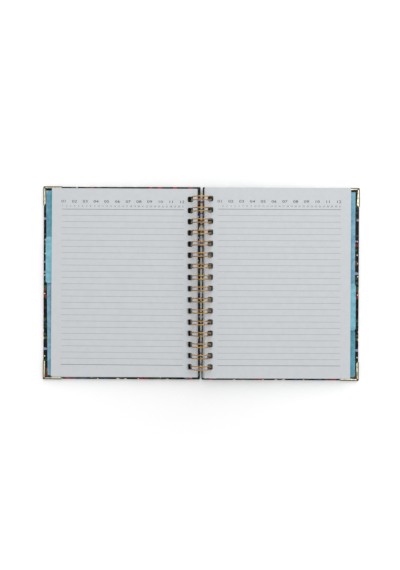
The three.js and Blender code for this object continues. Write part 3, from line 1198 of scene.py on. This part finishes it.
@dataclass
class MetalCorner:
    """A pressed metal corner: a slant-sided plate under the cover, crimped over both edges into two flaps."""

    cover: Cover
    end: End
    outside: float = 0.45  # how far it stands proud of the cover
    thickness: float = 0.4
    leg: float = 21.5
    leg_end: float = 2.0
    flap: float = 2.7
    flap_dip: float = 0.3  # how far the flap is pressed down towards its lip
    flap_steps: int = 5
    flap_clearance: float = 0.03
    tip_radius: float = 1.0
    arris: float = 0.6
    arc_steps: int = 6
    even_stations: tuple[float, float, int] = (1.6, 20.6, 20)  # the first, the last and how many

    def stations(self) -> Array:
        """Distances along a leg from its tip: fine round the tip, then even, with the mitres' ends.

        Returns:
            The distances in mm, from the least to the greatest.
        """
        tip = self.tip_radius * (1 - np.sin(np.linspace(math.pi / 4, 0, self.arc_steps)))
        flare = self.cover.flap_flare
        meets = (self.leg + self.leg_end + self.flap * flare - self.flap) / (1 + flare)
        marks = [*tip, self.flap, (self.leg + self.leg_end) / 2, meets, self.leg]
        return np.unique(np.round(np.concatenate([marks, np.linspace(*self.even_stations)]), 6))

    def wing(self) -> tuple[Array, int]:
        """One leg's closed sections, from the plate's inner edge out, up, over the flap and back inside.

        At a distance a along the leg, the tip's arc sets the outer edge in by r - sqrt(r^2 - (r - a)^2). The
        plate reaches in to the mitre, where depth is a, or to the slant, where a and depth add up to the leg.

        Returns:
            (stations, profile, 3) array of distance along, depth and height, and the number of outer points.
        """
        along = self.stations()
        radius, rise = self.tip_radius, self.arris
        edge = radius - np.sqrt(np.maximum(radius ** 2 - np.maximum(radius - along, 0) ** 2, 0))
        slant = self.leg + self.leg_end - along
        plate = np.maximum(np.minimum(along, slant), edge)
        width = self.flap + self.cover.flap_flare * (along - self.flap)
        flap = np.maximum(np.minimum(np.minimum(along, width), slant), edge)
        bottom, top = self.cover.low[2] - self.outside, self.cover.high[2] + self.outside
        floor, ceiling = bottom + self.thickness, self.cover.high[2] + self.flap_clearance
        turns = np.linspace(0, math.pi / 2, self.arc_steps)
        plate_round, flap_round = np.minimum(rise, plate - edge), np.minimum(rise, flap - edge)
        level = flap - edge - flap_round
        dip = self.flap_dip * np.minimum(level / rise, 1)
        columns = [
            (plate, bottom),
            *((edge + plate_round * (1 - math.sin(t)), bottom + rise * (1 - math.cos(t))) for t in turns),
            *((edge + flap_round * (1 - math.cos(t)), top - rise * (1 - math.sin(t))) for t in turns),
            *((edge + flap_round + level * part, top - dip * part ** 2)
              for part in np.linspace(0, 1, self.flap_steps + 1)[1:]),
        ]
        outer = len(columns)
        inner_edge = edge + self.thickness
        columns += [(flap, ceiling), (np.minimum(inner_edge, flap), ceiling)]
        columns += [(np.minimum(inner_edge, plate), floor), (plate, floor)]
        grid = [np.column_stack([along, depth, np.full(len(along), height)]) for depth, height in columns]
        return np.stack(grid, axis=1), outer

    def build(self) -> Object:
        """Joins the two wings at the mitre and closes the leg ends, leaving no wall inside the mitre.

        Returns:
            The metal corner.
        """
        sections, outer = self.wing()
        stations, across = sections.shape[:2]
        over = sections[:, :, 2] > self.cover.high[2]
        # The print layout carries the distance in from the flap's lip and the depth in from the outer edge, where
        # the finish paints its shadow line and dark reflection.
        from_lip = np.where(over, sections[:, outer - 1:outer, 1] - sections[:, :, 1], self.leg).ravel()
        triangles = grid_triangles(stations, across)
        on_mitre = np.isclose(sections[:, :, 0], sections[:, :, 1]).ravel()
        wing = (sections.reshape(-1, 3), triangles[~on_mitre[triangles].all(axis=1)], from_lip)
        cap_plan, cap = triangulate([sections[-1][:, 1:]])
        at_leg = np.full(across, self.leg)
        end_cap = (np.column_stack([at_leg, cap_plan]), cap[:, ::-1], at_leg)
        tip_u, tip_y = self.cover.high[:2] + self.outside
        shell = Shell()
        for head_edge in (True, False):
            for points, faces, lip in (wing, end_cap):
                distance, depth, height = points.T
                u = tip_u - (distance if head_edge else depth)
                y = self.end.value * (tip_y - (depth if head_edge else distance))
                flip = head_edge != (self.end is End.TAIL)
                shell.add(np.column_stack([u, y, height]), faces, np.column_stack([lip, depth]), flip=flip)
        return self.cover.finish(shell, f"metal_corner_{self.end.name.lower()}", crisp=40.0)


@dataclass
class Leaf:
    """A sheet or block of sheets hung on the wire: where its holes, edges and faces are."""

    node_name: str
    half: HalfFrame
    ring: RingGeometry
    lie: Lie
    hole_margin: float
    trim: float
    page_width: float = 165.1
    hole_half: float = 3.7
    hole_power: float = 4.0
    hole_steps: int = 20
    low: Array = field(init=False)
    high: Array = field(init=False)

    def __post_init__(self) -> None:
        """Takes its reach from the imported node."""
        self.low, self.high = self.half.span(self.node_name)

    @property
    def pivot(self) -> float:
        """The u of its row of holes."""
        return float(self.low[0]) + self.hole_margin

    def hole_row(self) -> list[Array]:
        """Its punched holes, squarer than circles."""
        half_sizes = (self.hole_half, self.hole_half)
        return holes(self.pivot, self.ring.places, half_sizes, self.hole_power, self.hole_steps)

    def page(self, step: float) -> Array:
        """The trimmed page's outline.

        Args:
            step: greatest distance between its points, in mm.

        Returns:
            (N, 2) points.
        """
        shorter = np.array([0.0, self.trim])
        outer = np.array([self.low[0] + self.page_width, self.high[1]])
        return sampled(rectangle(self.low[:2] + shorter, outer - shorter), step)

    def finish(self, shell: Shell, name: str) -> Object:
        """Makes the object of a leaf's surface."""
        return shell.build(name, self.half, self.lie, self.pivot)


@dataclass
class LeafBlock(Leaf):
    """A block of leaves, each a little out of line with the next."""

    leaf_mm: float = 0.2  # drawn thicker than the real 0.1 mm sheets, so that they show as sheets
    groove: float = 0.09
    groove_share: float = 0.22  # the part of a leaf's edge that slopes into each groove
    jog: float = 0.12
    edge_step: float = 30.0
    settled: float = 0.0  # how much lower its top lies, to leave room for the open leaf's waves
    seed: int = 1

    def build(self) -> Object:
        """Stacks the leaves: each leaf's edge is a flat band, with a fine groove between it and the next.

        Returns:
            The block of leaves.
        """
        low, high = float(self.low[2]), float(self.high[2]) - self.settled
        count = max(1, round((high - low) / self.leaf_mm))
        each = (high - low) / count
        jogs = np.random.default_rng(self.seed).uniform(-self.jog, self.jog, (count, 2))
        rings = [(low, 0.0, jogs[0])]
        for index in range(count):
            floor = low + index * each
            if index:
                rings.append((floor, -self.groove, (jogs[index - 1] + jogs[index]) / 2))
                rings.append((floor + self.groove_share * each, 0.0, jogs[index]))
            if index < count - 1:
                rings.append((floor + (1 - self.groove_share) * each, 0.0, jogs[index]))
        rings.append((high, 0.0, jogs[-1]))
        loops = [self.page(self.edge_step), *self.hole_row()]
        shell = Shell()
        for loop in loops:
            layers = [at_height(loop + outward(loop) * offset + jog, height) for height, offset, jog in rings]
            cut = np.full((len(layers) * len(loop), 2), CUT_EDGE)
            shell.add(np.concatenate(layers), grid_triangles(len(layers), len(loop)), cut)
        plan, triangles = triangulate(loops)
        shell.add(at_height(plan + jogs[-1], high), triangles)
        shell.add(at_height(plan + jogs[0], low), triangles, flip=True)
        return self.finish(shell, f"{self.node_name}_sheets")


@dataclass
class Divider(Leaf):
    """An index card with a rounded tab that stands out past the leaves."""

    tab: int = 1
    tab_cut: float = 0.0
    tab_setback: float = 1.4  # how far the first and last tabs stop short of the card's head and tail
    tab_places: int = 4
    tab_radius: float = 3.0
    arc_steps: int = 10

    def build(self) -> Object:
        """Cuts the card: a page whose fore edge steps out to the tab, with quarter-round tab corners.

        Returns:
            The card.
        """
        half = float(self.high[1]) - self.trim
        edge = float(self.low[0]) + self.page_width
        row = half - self.tab_setback
        head = row - (self.tab - 1) * 2 * row / self.tab_places
        tail = head - 2 * row / self.tab_places
        turns = np.linspace(0, math.pi / 2, self.arc_steps)
        radius = self.tab_radius
        out = float(self.high[0]) - self.tab_cut - radius
        lower = np.column_stack([out + radius * np.sin(turns), tail + radius - radius * np.cos(turns)])
        upper = np.column_stack([out + radius * np.cos(turns), head - radius + radius * np.sin(turns)])
        before = [[self.low[0], -half], [edge, -half], [edge, tail]]
        after = [[edge, head], [edge, half], [self.low[0], half]]
        shell = Shell()
        outline = np.concatenate([before, lower, upper, after])
        shell.sheet([outline, *self.hole_row()], float(self.low[2]), float(self.high[2]))
        return self.finish(shell, f"{self.node_name}_card")


@dataclass
class OpenLeaf(Leaf):
    """The open page of one side, which doesn't lie quite flat."""

    hole_half: float = 3.2
    room: float = 0.25
    flat_strip: float = 12.0  # how far from its spine edge the page begins to rise
    wave: float = 0.11
    waves_out: float = 1.3  # waves from the spine to the fore edge
    waves_along: float = 1.4  # how far they slant, in radians from the middle to the head
    fore_lift: float = 0.07
    corner_lift: float = 0.07
    grid_mm: float = 6.0
    grid_clear: float = 2.0  # how far the grid keeps from the page's edges
    hole_clear: float = 1.0  # and from its holes
    phase: float = 0.0

    def lift(self, plan: Array) -> Array:
        """How far the leaf lies below its solid: most at its holes, least at its corners, with a slow wave.

        Args:
            plan: (N, 2) points of the page, before its lie is applied.

        Returns:
            (N,) lifts in mm from minus the room up to zero, so that the closed planner's pages don't meet.
        """
        strip = self.flat_strip
        out = np.clip((plan[:, 0] - self.low[0] - strip) / (self.page_width - strip), 0, 1)
        end = plan[:, 1] / self.high[1]
        slant = 2 * np.pi * self.waves_out * out + self.waves_along * end + self.phase
        rise = self.wave * (1 + np.sin(slant)) / 2 + out ** 2 * (self.fore_lift + self.corner_lift * end ** 4)
        return out * out * (3 - 2 * out) * rise - self.room

    def grid_line(self, length: float) -> Array:
        """Places along a length, half a step in from its start and clear of its end."""
        places = self.grid_mm * (np.arange(length // self.grid_mm + 1) + 0.5)
        return places[places < length - self.grid_clear]

    def build(self) -> Object:
        """Makes the leaf: a thin closed sheet on a grid fine enough to carry its gentle waves.

        Returns:
            The leaf.
        """
        half = self.high[1] - self.trim
        us, ys = self.low[0] + self.grid_line(self.page_width), -half + self.grid_line(2 * half)
        loose = np.stack(np.meshgrid(us, ys), axis=-1).reshape(-1, 2)
        loose = loose[np.abs(loose[:, 0] - self.pivot) > self.hole_half + self.hole_clear]
        shell = Shell()
        loops = [self.page(self.grid_mm), *self.hole_row()]
        shell.sheet(loops, float(self.low[2]), float(self.high[2]), self.lift, loose=loose)
        return self.finish(shell, f"{self.node_name}_page")


class Numerals:
    """The ten digits as flat meshes, taken once from Blender's own font."""

    arc_steps = 3
    half_depth = 0.5

    def __init__(self) -> None:
        """Measures the font: digits all advance by the same width, found from one digit and from two."""
        self.shapes = [self.shape(str(digit)) for digit in range(10)]
        zero = self.shapes[0][0]
        self.cap = float(np.ptp(zero[:, 1]))
        self.foot = float(zero[:, 1].min())
        self.advance = float(np.ptp(self.shape("00")[0][:, 0]) - np.ptp(zero[:, 0]))

    def shape(self, text: str) -> tuple[Array, Array]:
        """Turns text into a thin closed mesh.

        Args:
            text: the digits.

        Returns:
            Its points, one unit high or so, and its triangles.
        """
        curve = bpy.data.curves.new("numeral", "FONT")
        curve.body = text
        curve.extrude = self.half_depth
        curve.resolution_u = self.arc_steps
        writer = linked("numeral", curve)
        bpy.context.view_layer.update()
        mesh = bpy.data.meshes.new_from_object(writer.evaluated_get(bpy.context.evaluated_depsgraph_get()))
        mesh.calc_loop_triangles()
        points = np.array([vertex.co for vertex in mesh.vertices])
        triangles = np.array([triangle.vertices for triangle in mesh.loop_triangles])
        bpy.data.objects.remove(writer)
        bpy.data.curves.remove(curve)
        bpy.data.meshes.remove(mesh)
        return points, triangles

    def number(self, text: str, cap_mm: float, wide: float = 1.0) -> tuple[Array, Array]:
        """Sets digits side by side, centred on the origin and with their height in mm.

        Args:
            text: the digits.
            cap_mm: how tall they are.
            wide: how much wider than the font draws them.

        Returns:
            (N, 3) points, whose third column runs from -1 to 1 through the ink, and triangles.
        """
        scale = cap_mm / self.cap
        points, triangles, count = [], [], 0
        for index, digit in enumerate(text):
            shape, faces = self.shapes[int(digit)]
            middle = (shape[:, 0].min() + shape[:, 0].max()) / 2
            x = (shape[:, 0] - middle + (index - (len(text) - 1) / 2) * self.advance) * scale * wide
            y = (shape[:, 1] - self.foot) * scale - cap_mm / 2
            points.append(np.column_stack([x, y, shape[:, 2] / self.half_depth]))
            triangles.append(faces + count)
            count += len(shape)
        return np.concatenate(points), np.concatenate(triangles)


@dataclass
class YearGrid:
    """The ruled year planner printed on an open page: months, days and a grid of rules."""

    leaf: OpenLeaf
    numerals: Numerals
    finishes: Finishes
    spine_margin: float = 14.7
    fore_margin: float = 11.2
    month_row: float = 15.6
    day_row: float = 21.0
    first_rule: float = 24.6
    row_pitch: float = 7.08
    rows: int = 25
    months: int = 12
    days: int = 31
    month_cap: float = 2.9
    month_wide: float = 1.45
    day_cap: float = 1.8
    heavy: float = 0.5
    thin: float = 0.35
    ink: float = 0.012
    stations: int = 40

    @property
    def across(self) -> Pair:
        """The least and greatest x' of the print, where x' reads from left to right on either page.

        Returns:
            Both places, in mm.
        """
        spine = self.leaf.low[0] + self.spine_margin
        fore = self.leaf.low[0] + self.leaf.page_width - self.fore_margin
        return (spine, fore) if self.leaf.half.side is Side.RIGHT else (-fore, -spine)

    def on_page(self, shell: Shell, points: Array, triangles: Array) -> None:
        """Lays a mesh on the page: its third column, from -1 to 1, becomes the ink's depth about the surface.

        Args:
            shell: the print's surface.
            points: (N, 3) points, x' from left to right.
            triangles: their faces, pointing outwards as seen from above.
        """
        side = self.leaf.half.side.value
        plan = points[:, :2] * [side, 1]
        surface = float(self.leaf.high[2]) + self.leaf.lift(plan)
        shell.add(at_height(plan, surface + points[:, 2] * self.ink), triangles, flip=side < 0)

    def row(self, texts: list[str], cap: float, down: float, wide: float, shell: Shell) -> None:
        """Sets a row of numbers, evenly spaced, from one end of the rules to the other.

        Args:
            texts: the numbers.
            cap: how tall they are.
            down: from the head of the page to their middle.
            wide: how much wider than the font draws them.
            shell: the print's surface.
        """
        left, right = self.across
        half = float(np.ptp(self.numerals.number(texts[-1], cap, wide)[0][:, 0])) / 2
        for text, middle in zip(texts, np.linspace(left + half, right - half, len(texts))):
            points, triangles = self.numerals.number(text, cap, wide)
            self.on_page(shell, points + [middle, self.leaf.high[1] - down, 0], triangles)

    def rule(self, down: float, width: float, shell: Shell) -> None:
        """Draws one rule: a thin closed strip right across the print.

        Args:
            down: from the head of the page to its middle.
            width: how wide it is.
            shell: the print's surface.
        """
        x = np.repeat(np.linspace(*self.across, self.stations), 4)
        y = self.leaf.high[1] - down + np.tile([-1, 1, 1, -1], self.stations) * width / 2
        points = np.column_stack([x, y, np.tile([1.0, 1.0, -1.0, -1.0], self.stations)])
        last = 4 * (self.stations - 1)
        caps = np.array([[0, 1, 2], [0, 2, 3], [last, last + 2, last + 1], [last, last + 3, last + 2]])
        self.on_page(shell, points, np.concatenate([grid_triangles(self.stations, 4)[:, ::-1], caps]))

    def make(self, body: str) -> None:
        """Prints the months, the days and the rules, each in its own ink.

        Args:
            body: the page's body.
        """
        prints = {name: Shell() for name in ("month_numbers", "day_numbers", "page_rules", "heavy_rules")}
        months = [f"{month:02d}" for month in range(1, self.months + 1)]
        days = [str(day) for day in range(1, self.days + 1)]
        self.row(months, self.month_cap, self.month_row, self.month_wide, prints["month_numbers"])
        self.row(days, self.day_cap, self.day_row, 1.0, prints["day_numbers"])
        for index in range(self.rows + 1):
            bold = index in (0, self.rows)
            width, kind = (self.heavy, "heavy_rules") if bold else (self.thin, "page_rules")
            self.rule(self.first_rule + index * self.row_pitch, width, prints[kind])
        for name, shell in prints.items():
            made = self.leaf.finish(shell, f"{self.leaf.half.side.name.lower()}_{name}")
            dress(made, self.finishes[name], body, "paper")


@dataclass
class LeafStack:
    """The leaves of one side: blocks, two dividers and the open leaf with its print.

    Attributes:
        blocks: each block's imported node, with its body and lie.
        dividers: each divider's number, with its body, slot, lie and how much narrower its tab is cut.
        open_lie: the open leaf's lie.
        hole_margin: from the pages' spine edge to the middle of their holes.
        trim: how much shorter the pages are cut at each end.
    """

    half: HalfFrame
    ring: RingGeometry
    finishes: Finishes
    numerals: Numerals
    blocks: dict[str, tuple[str, Lie]]
    dividers: dict[int, tuple[str, str, Lie, float]]
    open_lie: Lie
    hole_margin: float
    trim: float = 0.0
    first_seed: int = 11
    mean_phase: float = 1.0  # the two open leaves' waves run before and after this

    def make(self) -> None:
        """Builds and dresses every sheet of the stack."""
        side = self.half.side
        cut = (self.hole_margin, self.trim)
        for index, (name, (body, lie)) in enumerate(self.blocks.items()):
            settled = OpenLeaf.room if index == len(self.blocks) - 1 else 0.0
            seed = self.first_seed + index + side.value
            block = LeafBlock(name, self.half, self.ring, lie, *cut, settled=settled, seed=seed)
            dress(block.build(), self.finishes["block"], body, "paper", (name,))
        for number, (body, slot, lie, narrower) in self.dividers.items():
            name = f"divider_{number}"
            card = Divider(name, self.half, self.ring, lie, *cut, tab=number, tab_cut=narrower)
            dress(card.build(), self.finishes[slot], body, slot, (name,))
        name, body = f"{side.name.lower()}_open_leaf", f"{side.name.lower()}_leaf"
        page = OpenLeaf(name, self.half, self.ring, self.open_lie, *cut, phase=self.mean_phase + side.value)
        dress(page.build(), self.finishes["page"], body, "paper", (name,))
        YearGrid(page, self.numerals, self.finishes).make(body)


@dataclass
class TwinLoopWire:
    """The binding wire: one unbroken strand bent to and fro into twin fingers, closed round into rings."""

    ring: RingGeometry
    finishes: Finishes
    base_angle: float = -68.0
    base_bend: float = 1.2
    closing_gap: float = 0.8
    sides: int = 14
    leg_steps: int = 44
    tip_steps: int = 12
    bend_steps: int = 6
    dome_steps: int = 4
    lean: float = 0.1
    seed: int = 5

    def finger(self, place: float, lean: float, first: bool, last: bool) -> Array:
        """One twin finger laid out flat, as (arc, y): up a leg, half round the tip and down the other leg.

        Args:
            place: y of its middle.
            lean: how far its tip leans towards the head.
            first: whether it begins the strand, so that no bend leads in.
            last: whether it ends the strand.

        Returns:
            (N, 2) points.
        """
        half_width, bend = self.ring.finger_spacing / 2, self.base_bend
        base = math.radians(self.base_angle) * self.ring.radius
        start = base + bend
        tip = base + 2 * math.pi * self.ring.radius - self.closing_gap - half_width
        arcs = np.linspace(start, tip, self.leg_steps)
        turns = np.linspace(-math.pi / 2, math.pi / 2, self.tip_steps + 1)[1:-1]
        bends = np.linspace(0, math.pi / 2, self.bend_steps + 1)[1:]
        up = np.column_stack([arcs, np.full(len(arcs), -half_width)])
        crown = np.column_stack([tip + half_width * np.cos(turns), half_width * np.sin(turns)])
        lead = np.column_stack([start - bend * np.sin(bends), half_width + bend * (1 - np.cos(bends))])
        into, out_of = [] if first else [lead[::-1] * [1, -1]], [] if last else [lead]
        flat = np.concatenate([*into, up, crown, up[::-1] * [1, -1], *out_of])
        rise = np.clip((flat[:, 0] - start) / (tip - start), 0, 1)
        flat[:, 1] += place + lean * np.sin(math.pi * rise / 2) ** 2
        return flat

    def path(self) -> Array:
        """The strand's centre line in mm: the flat layout rolled round the ring, arc turned into angle.

        Returns:
            The line's points, in their order along the strand.
        """
        leans = np.random.default_rng(self.seed).uniform(-self.lean, self.lean, self.ring.count)
        last = self.ring.count - 1
        fingers = [
            self.finger(place, lean, index == 0, index == last)
            for index, (place, lean) in enumerate(zip(self.ring.places, leans))
        ]
        arc, y = np.concatenate(fingers).T
        radius = self.ring.radius
        angle = arc / radius
        return np.column_stack([radius * np.cos(angle), y, self.ring.axis_height + radius * np.sin(angle)])

    def build(self) -> Object:
        """Carries a circle along the path, square to it, and closes both ends with small domes.

        Returns:
            The wire.
        """
        path = self.path()
        along = np.gradient(path, axis=0)
        along /= np.linalg.norm(along, axis=1, keepdims=True)
        spoke = path * [1, 0, 1] - [0, 0, self.ring.axis_height]
        spoke -= along * (spoke * along).sum(axis=1, keepdims=True)
        spoke /= np.linalg.norm(spoke, axis=1, keepdims=True)
        across = np.cross(along, spoke)
        dome = np.linspace(0, math.pi / 2, self.dome_steps + 1)[1:]
        narrow, ahead = np.cos(dome), np.sin(dome)
        thick = np.concatenate([narrow[::-1], np.ones(len(path)), narrow]) * self.ring.wire_radius
        reach = np.concatenate([-ahead[::-1], np.zeros(len(path)), ahead]) * self.ring.wire_radius
        order = np.clip(np.arange(len(thick)) - self.dome_steps, 0, len(path) - 1)
        turns = (np.arange(self.sides) * 2 * math.pi / self.sides)[None, :, None]
        circle = np.cos(turns) * spoke[order][:, None, :] + np.sin(turns) * across[order][:, None, :]
        centre = path[order] + along[order] * reach[:, None]
        points = (centre[:, None, :] + circle * thick[:, None, None]).reshape(-1, 3)
        kept, faces, whole = weld(points, grid_triangles(len(order), self.sides))
        return mesh_object("gold_twin_loop_wire", points[kept] * MM, faces[whole], crisp=60.0)

    def make(self) -> None:
        """Builds and dresses the wire."""
        dress(self.build(), self.finishes["wire"], "binding_wire", "gold_wire", ("twin_loop_wire",))


@dataclass(frozen=True)
class Studio:
    """The white table, the soft light and the camera straight above, as the photograph was taken."""

    camera_at: tuple[float, float, float] = (-0.0013, -0.0021, 0.700)
    camera_roll: float = 0.2
    lens: float = 38.33
    sensor_width: float = 36.0
    clip_start: float = 0.05
    floor_reach: float = 3.0
    floor_gap: float = 0.00003
    floor_tones: tuple[Pair, Pair] = ((0.3, 0.87), (0.7, 0.89))  # places in the noise, and the grey at each
    floor_grain: float = 400.0
    glow: float = 0.12
    far_glow: float = 0.55
    glow_reach: Pair = (0.12, 0.60)  # where the glow begins to rise, and where it is full
    fill: float = 0.68
    key_power: float = 9.6
    key_size: float = 1.5
    key_from: tuple[float, float, float] = (0.30, 0.76, 0.95)

    def seen(self, tree: NodeTree) -> Node:
        """Where the camera, reflections and glass look: true in any of the three kinds of ray.

        Args:
            tree: the material's or world's nodes.

        Returns:
            The node that gives 1 for those rays and 0 for others.
        """
        ray = node(tree, "LightPath")
        also = {0: ray.outputs["Is Glossy Ray"], 1: ray.outputs["Is Transmission Ray"]}
        through = node(tree, "Math", also, operation="MAXIMUM")
        return node(tree, "Math", {0: ray.outputs["Is Camera Ray"], 1: through}, operation="MAXIMUM")

    def build_floor(self) -> None:
        """A wide white sheet just under the planner, which keeps its shadow and glows more further out."""
        reach = np.full(2, self.floor_reach)
        corners = at_height(rectangle(-reach, reach), -self.floor_gap)
        floor = mesh_object("white_table", corners, np.array([[0, 1, 2, 3]]))
        material = bpy.data.materials.new("white_backdrop_paper")
        tree = emptied(material)
        place = node(tree, "TexCoord").outputs["Object"]
        grain = node(tree, "TexNoise", {"Vector": place, "Scale": self.floor_grain, "Detail": 2.0})
        stops = [(at, (tone, tone, tone, 1.0)) for at, tone in self.floor_tones]
        diffuse = node(tree, "BsdfDiffuse", {"Color": node(tree, "ValToRGB", {"Fac": grain}, stops)})
        rise = node(tree, "MapRange", {
            "Value": node(tree, "VectorMath", {0: place}, operation="LENGTH").outputs["Value"],
            "From Min": self.glow_reach[0],
            "From Max": self.glow_reach[1],
            "To Min": self.glow,
            "To Max": self.far_glow,
        })
        strength = node(tree, "Math", {0: self.seen(tree), 1: rise}, operation="MULTIPLY")
        glow = node(tree, "Emission", {"Strength": strength})
        node(tree, "OutputMaterial", {"Surface": node(tree, "AddShader", {0: diffuse, 1: glow})})
        floor.data.materials.append(material)

    def build_world(self) -> None:
        """Soft light from everywhere, with pure white where the backdrop is seen."""
        world = bpy.data.worlds.new("soft_white_studio")
        tree = emptied(world)
        light, white = (
            node(tree, "Background", {"Color": linear("#FFFFFF"), "Strength": strength})
            for strength in (self.fill, 1.0)
        )
        mixed = node(tree, "MixShader", {0: self.seen(tree), 1: light, 2: white})
        node(tree, "OutputWorld", {"Surface": mixed})
        bpy.context.scene.world = world

    def build_key(self) -> None:
        """A wide square softbox up beyond the planner's head, aimed at its middle."""
        lamp = bpy.data.lights.new("key_softbox", "AREA")
        lamp.shape = "SQUARE"
        lamp.size = self.key_size
        lamp.energy = self.key_power
        softbox = linked("key_softbox", lamp)
        softbox.location = self.key_from
        softbox.rotation_euler = (-Vector(self.key_from)).to_track_quat("-Z", "Y").to_euler()

    def build_camera(self) -> None:
        """A camera straight above, its long side fitted to the photograph's height."""
        camera = bpy.data.cameras.new("overhead_camera")
        camera.lens = self.lens
        camera.sensor_width = self.sensor_width
        camera.clip_start = self.clip_start
        mount = linked("overhead_camera", camera)
        mount.location = self.camera_at
        mount.rotation_euler = (0.0, 0.0, math.radians(self.camera_roll))
        bpy.context.scene.camera = mount

    def make(self) -> None:
        """Sets the table, the lights and the camera."""
        self.build_floor()
        self.build_world()
        self.build_key()
        self.build_camera()
        bpy.context.scene.view_settings.view_transform = "Standard"


def half_frame(side: Side) -> HalfFrame:
    """Reads a half's slope from a metal corner's foot, which is square to it, and the axis from a hinge.

    Args:
        side: which half.

    Returns:
        The half's own axes.
    """
    mount = next(m for m in frame["record"]["mounts"] if m["pos_m"][0] * side.value > 0)
    slope = math.asin(abs(mount["axis"][0]))
    return HalfFrame(side, slope, frame["joints"][0]["pos_m"][2] / MM)


def main() -> None:
    """Builds the planner piece by piece, then the studio."""
    logging.basicConfig(level=logging.INFO, format="%(message)s")
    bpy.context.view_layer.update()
    finishes = build_finishes()
    numerals = Numerals()
    left, right = half_frame(Side.LEFT), half_frame(Side.RIGHT)
    ring = RingGeometry(left.axis_height)

    TwinLoopWire(ring, finishes).make()
    Cover("front", left, ring, finishes, Lie(head=-0.15), endpaper_reach=(-0.7, 1.6)).make()
    Cover("back", right, ring, finishes, Lie(head=-0.45, turn=-0.15), flap_flare=0.065).make()
    LeafStack(
        left, ring, finishes, numerals,
        blocks={
            "front_leaves": ("front_pages", Lie(out=0.8, turn=0.3)),
            "section_1_leaves": ("section_1", Lie(out=0.6, turn=0.25)),
            "section_2_read_leaves": ("section_2_read", Lie(out=0.8, head=0.1, turn=0.1)),
        },
        dividers={
            # Divider 1 lies lower: its card carries painted shade.
            1: ("section_1", "dark_tab_card", Lie(turn=0.2), 1.5),
            2: ("section_2_read", "light_tab_card", Lie(turn=0.1), 0.0),
        },
        open_lie=Lie(out=1.2, turn=-0.22),
        hole_margin=7.5,
        trim=0.75,
    ).make()
    LeafStack(
        right, ring, finishes, numerals,
        blocks={
            "section_4_leaves": ("section_4", Lie(out=-0.7, head=-0.1, turn=-0.3)),
            "section_3_leaves": ("section_3", Lie(out=-0.4, turn=-0.15)),
            "section_2_unread_leaves": ("section_2_unread", Lie(out=-0.3, head=0.3, turn=-0.1)),
        },
        dividers={
            # Divider 4 lies lower: its card carries painted shade.
            4: ("section_4", "dark_tab_card", Lie(head=-0.1, turn=-0.1), 0.0),
            3: ("section_3", "light_tab_card", Lie(turn=-0.05), 0.0),
        },
        open_lie=Lie(out=-0.5, head=0.4),
        hole_margin=6.3,
    ).make()

    Studio().make()


if __name__ == "__main__":
    main()
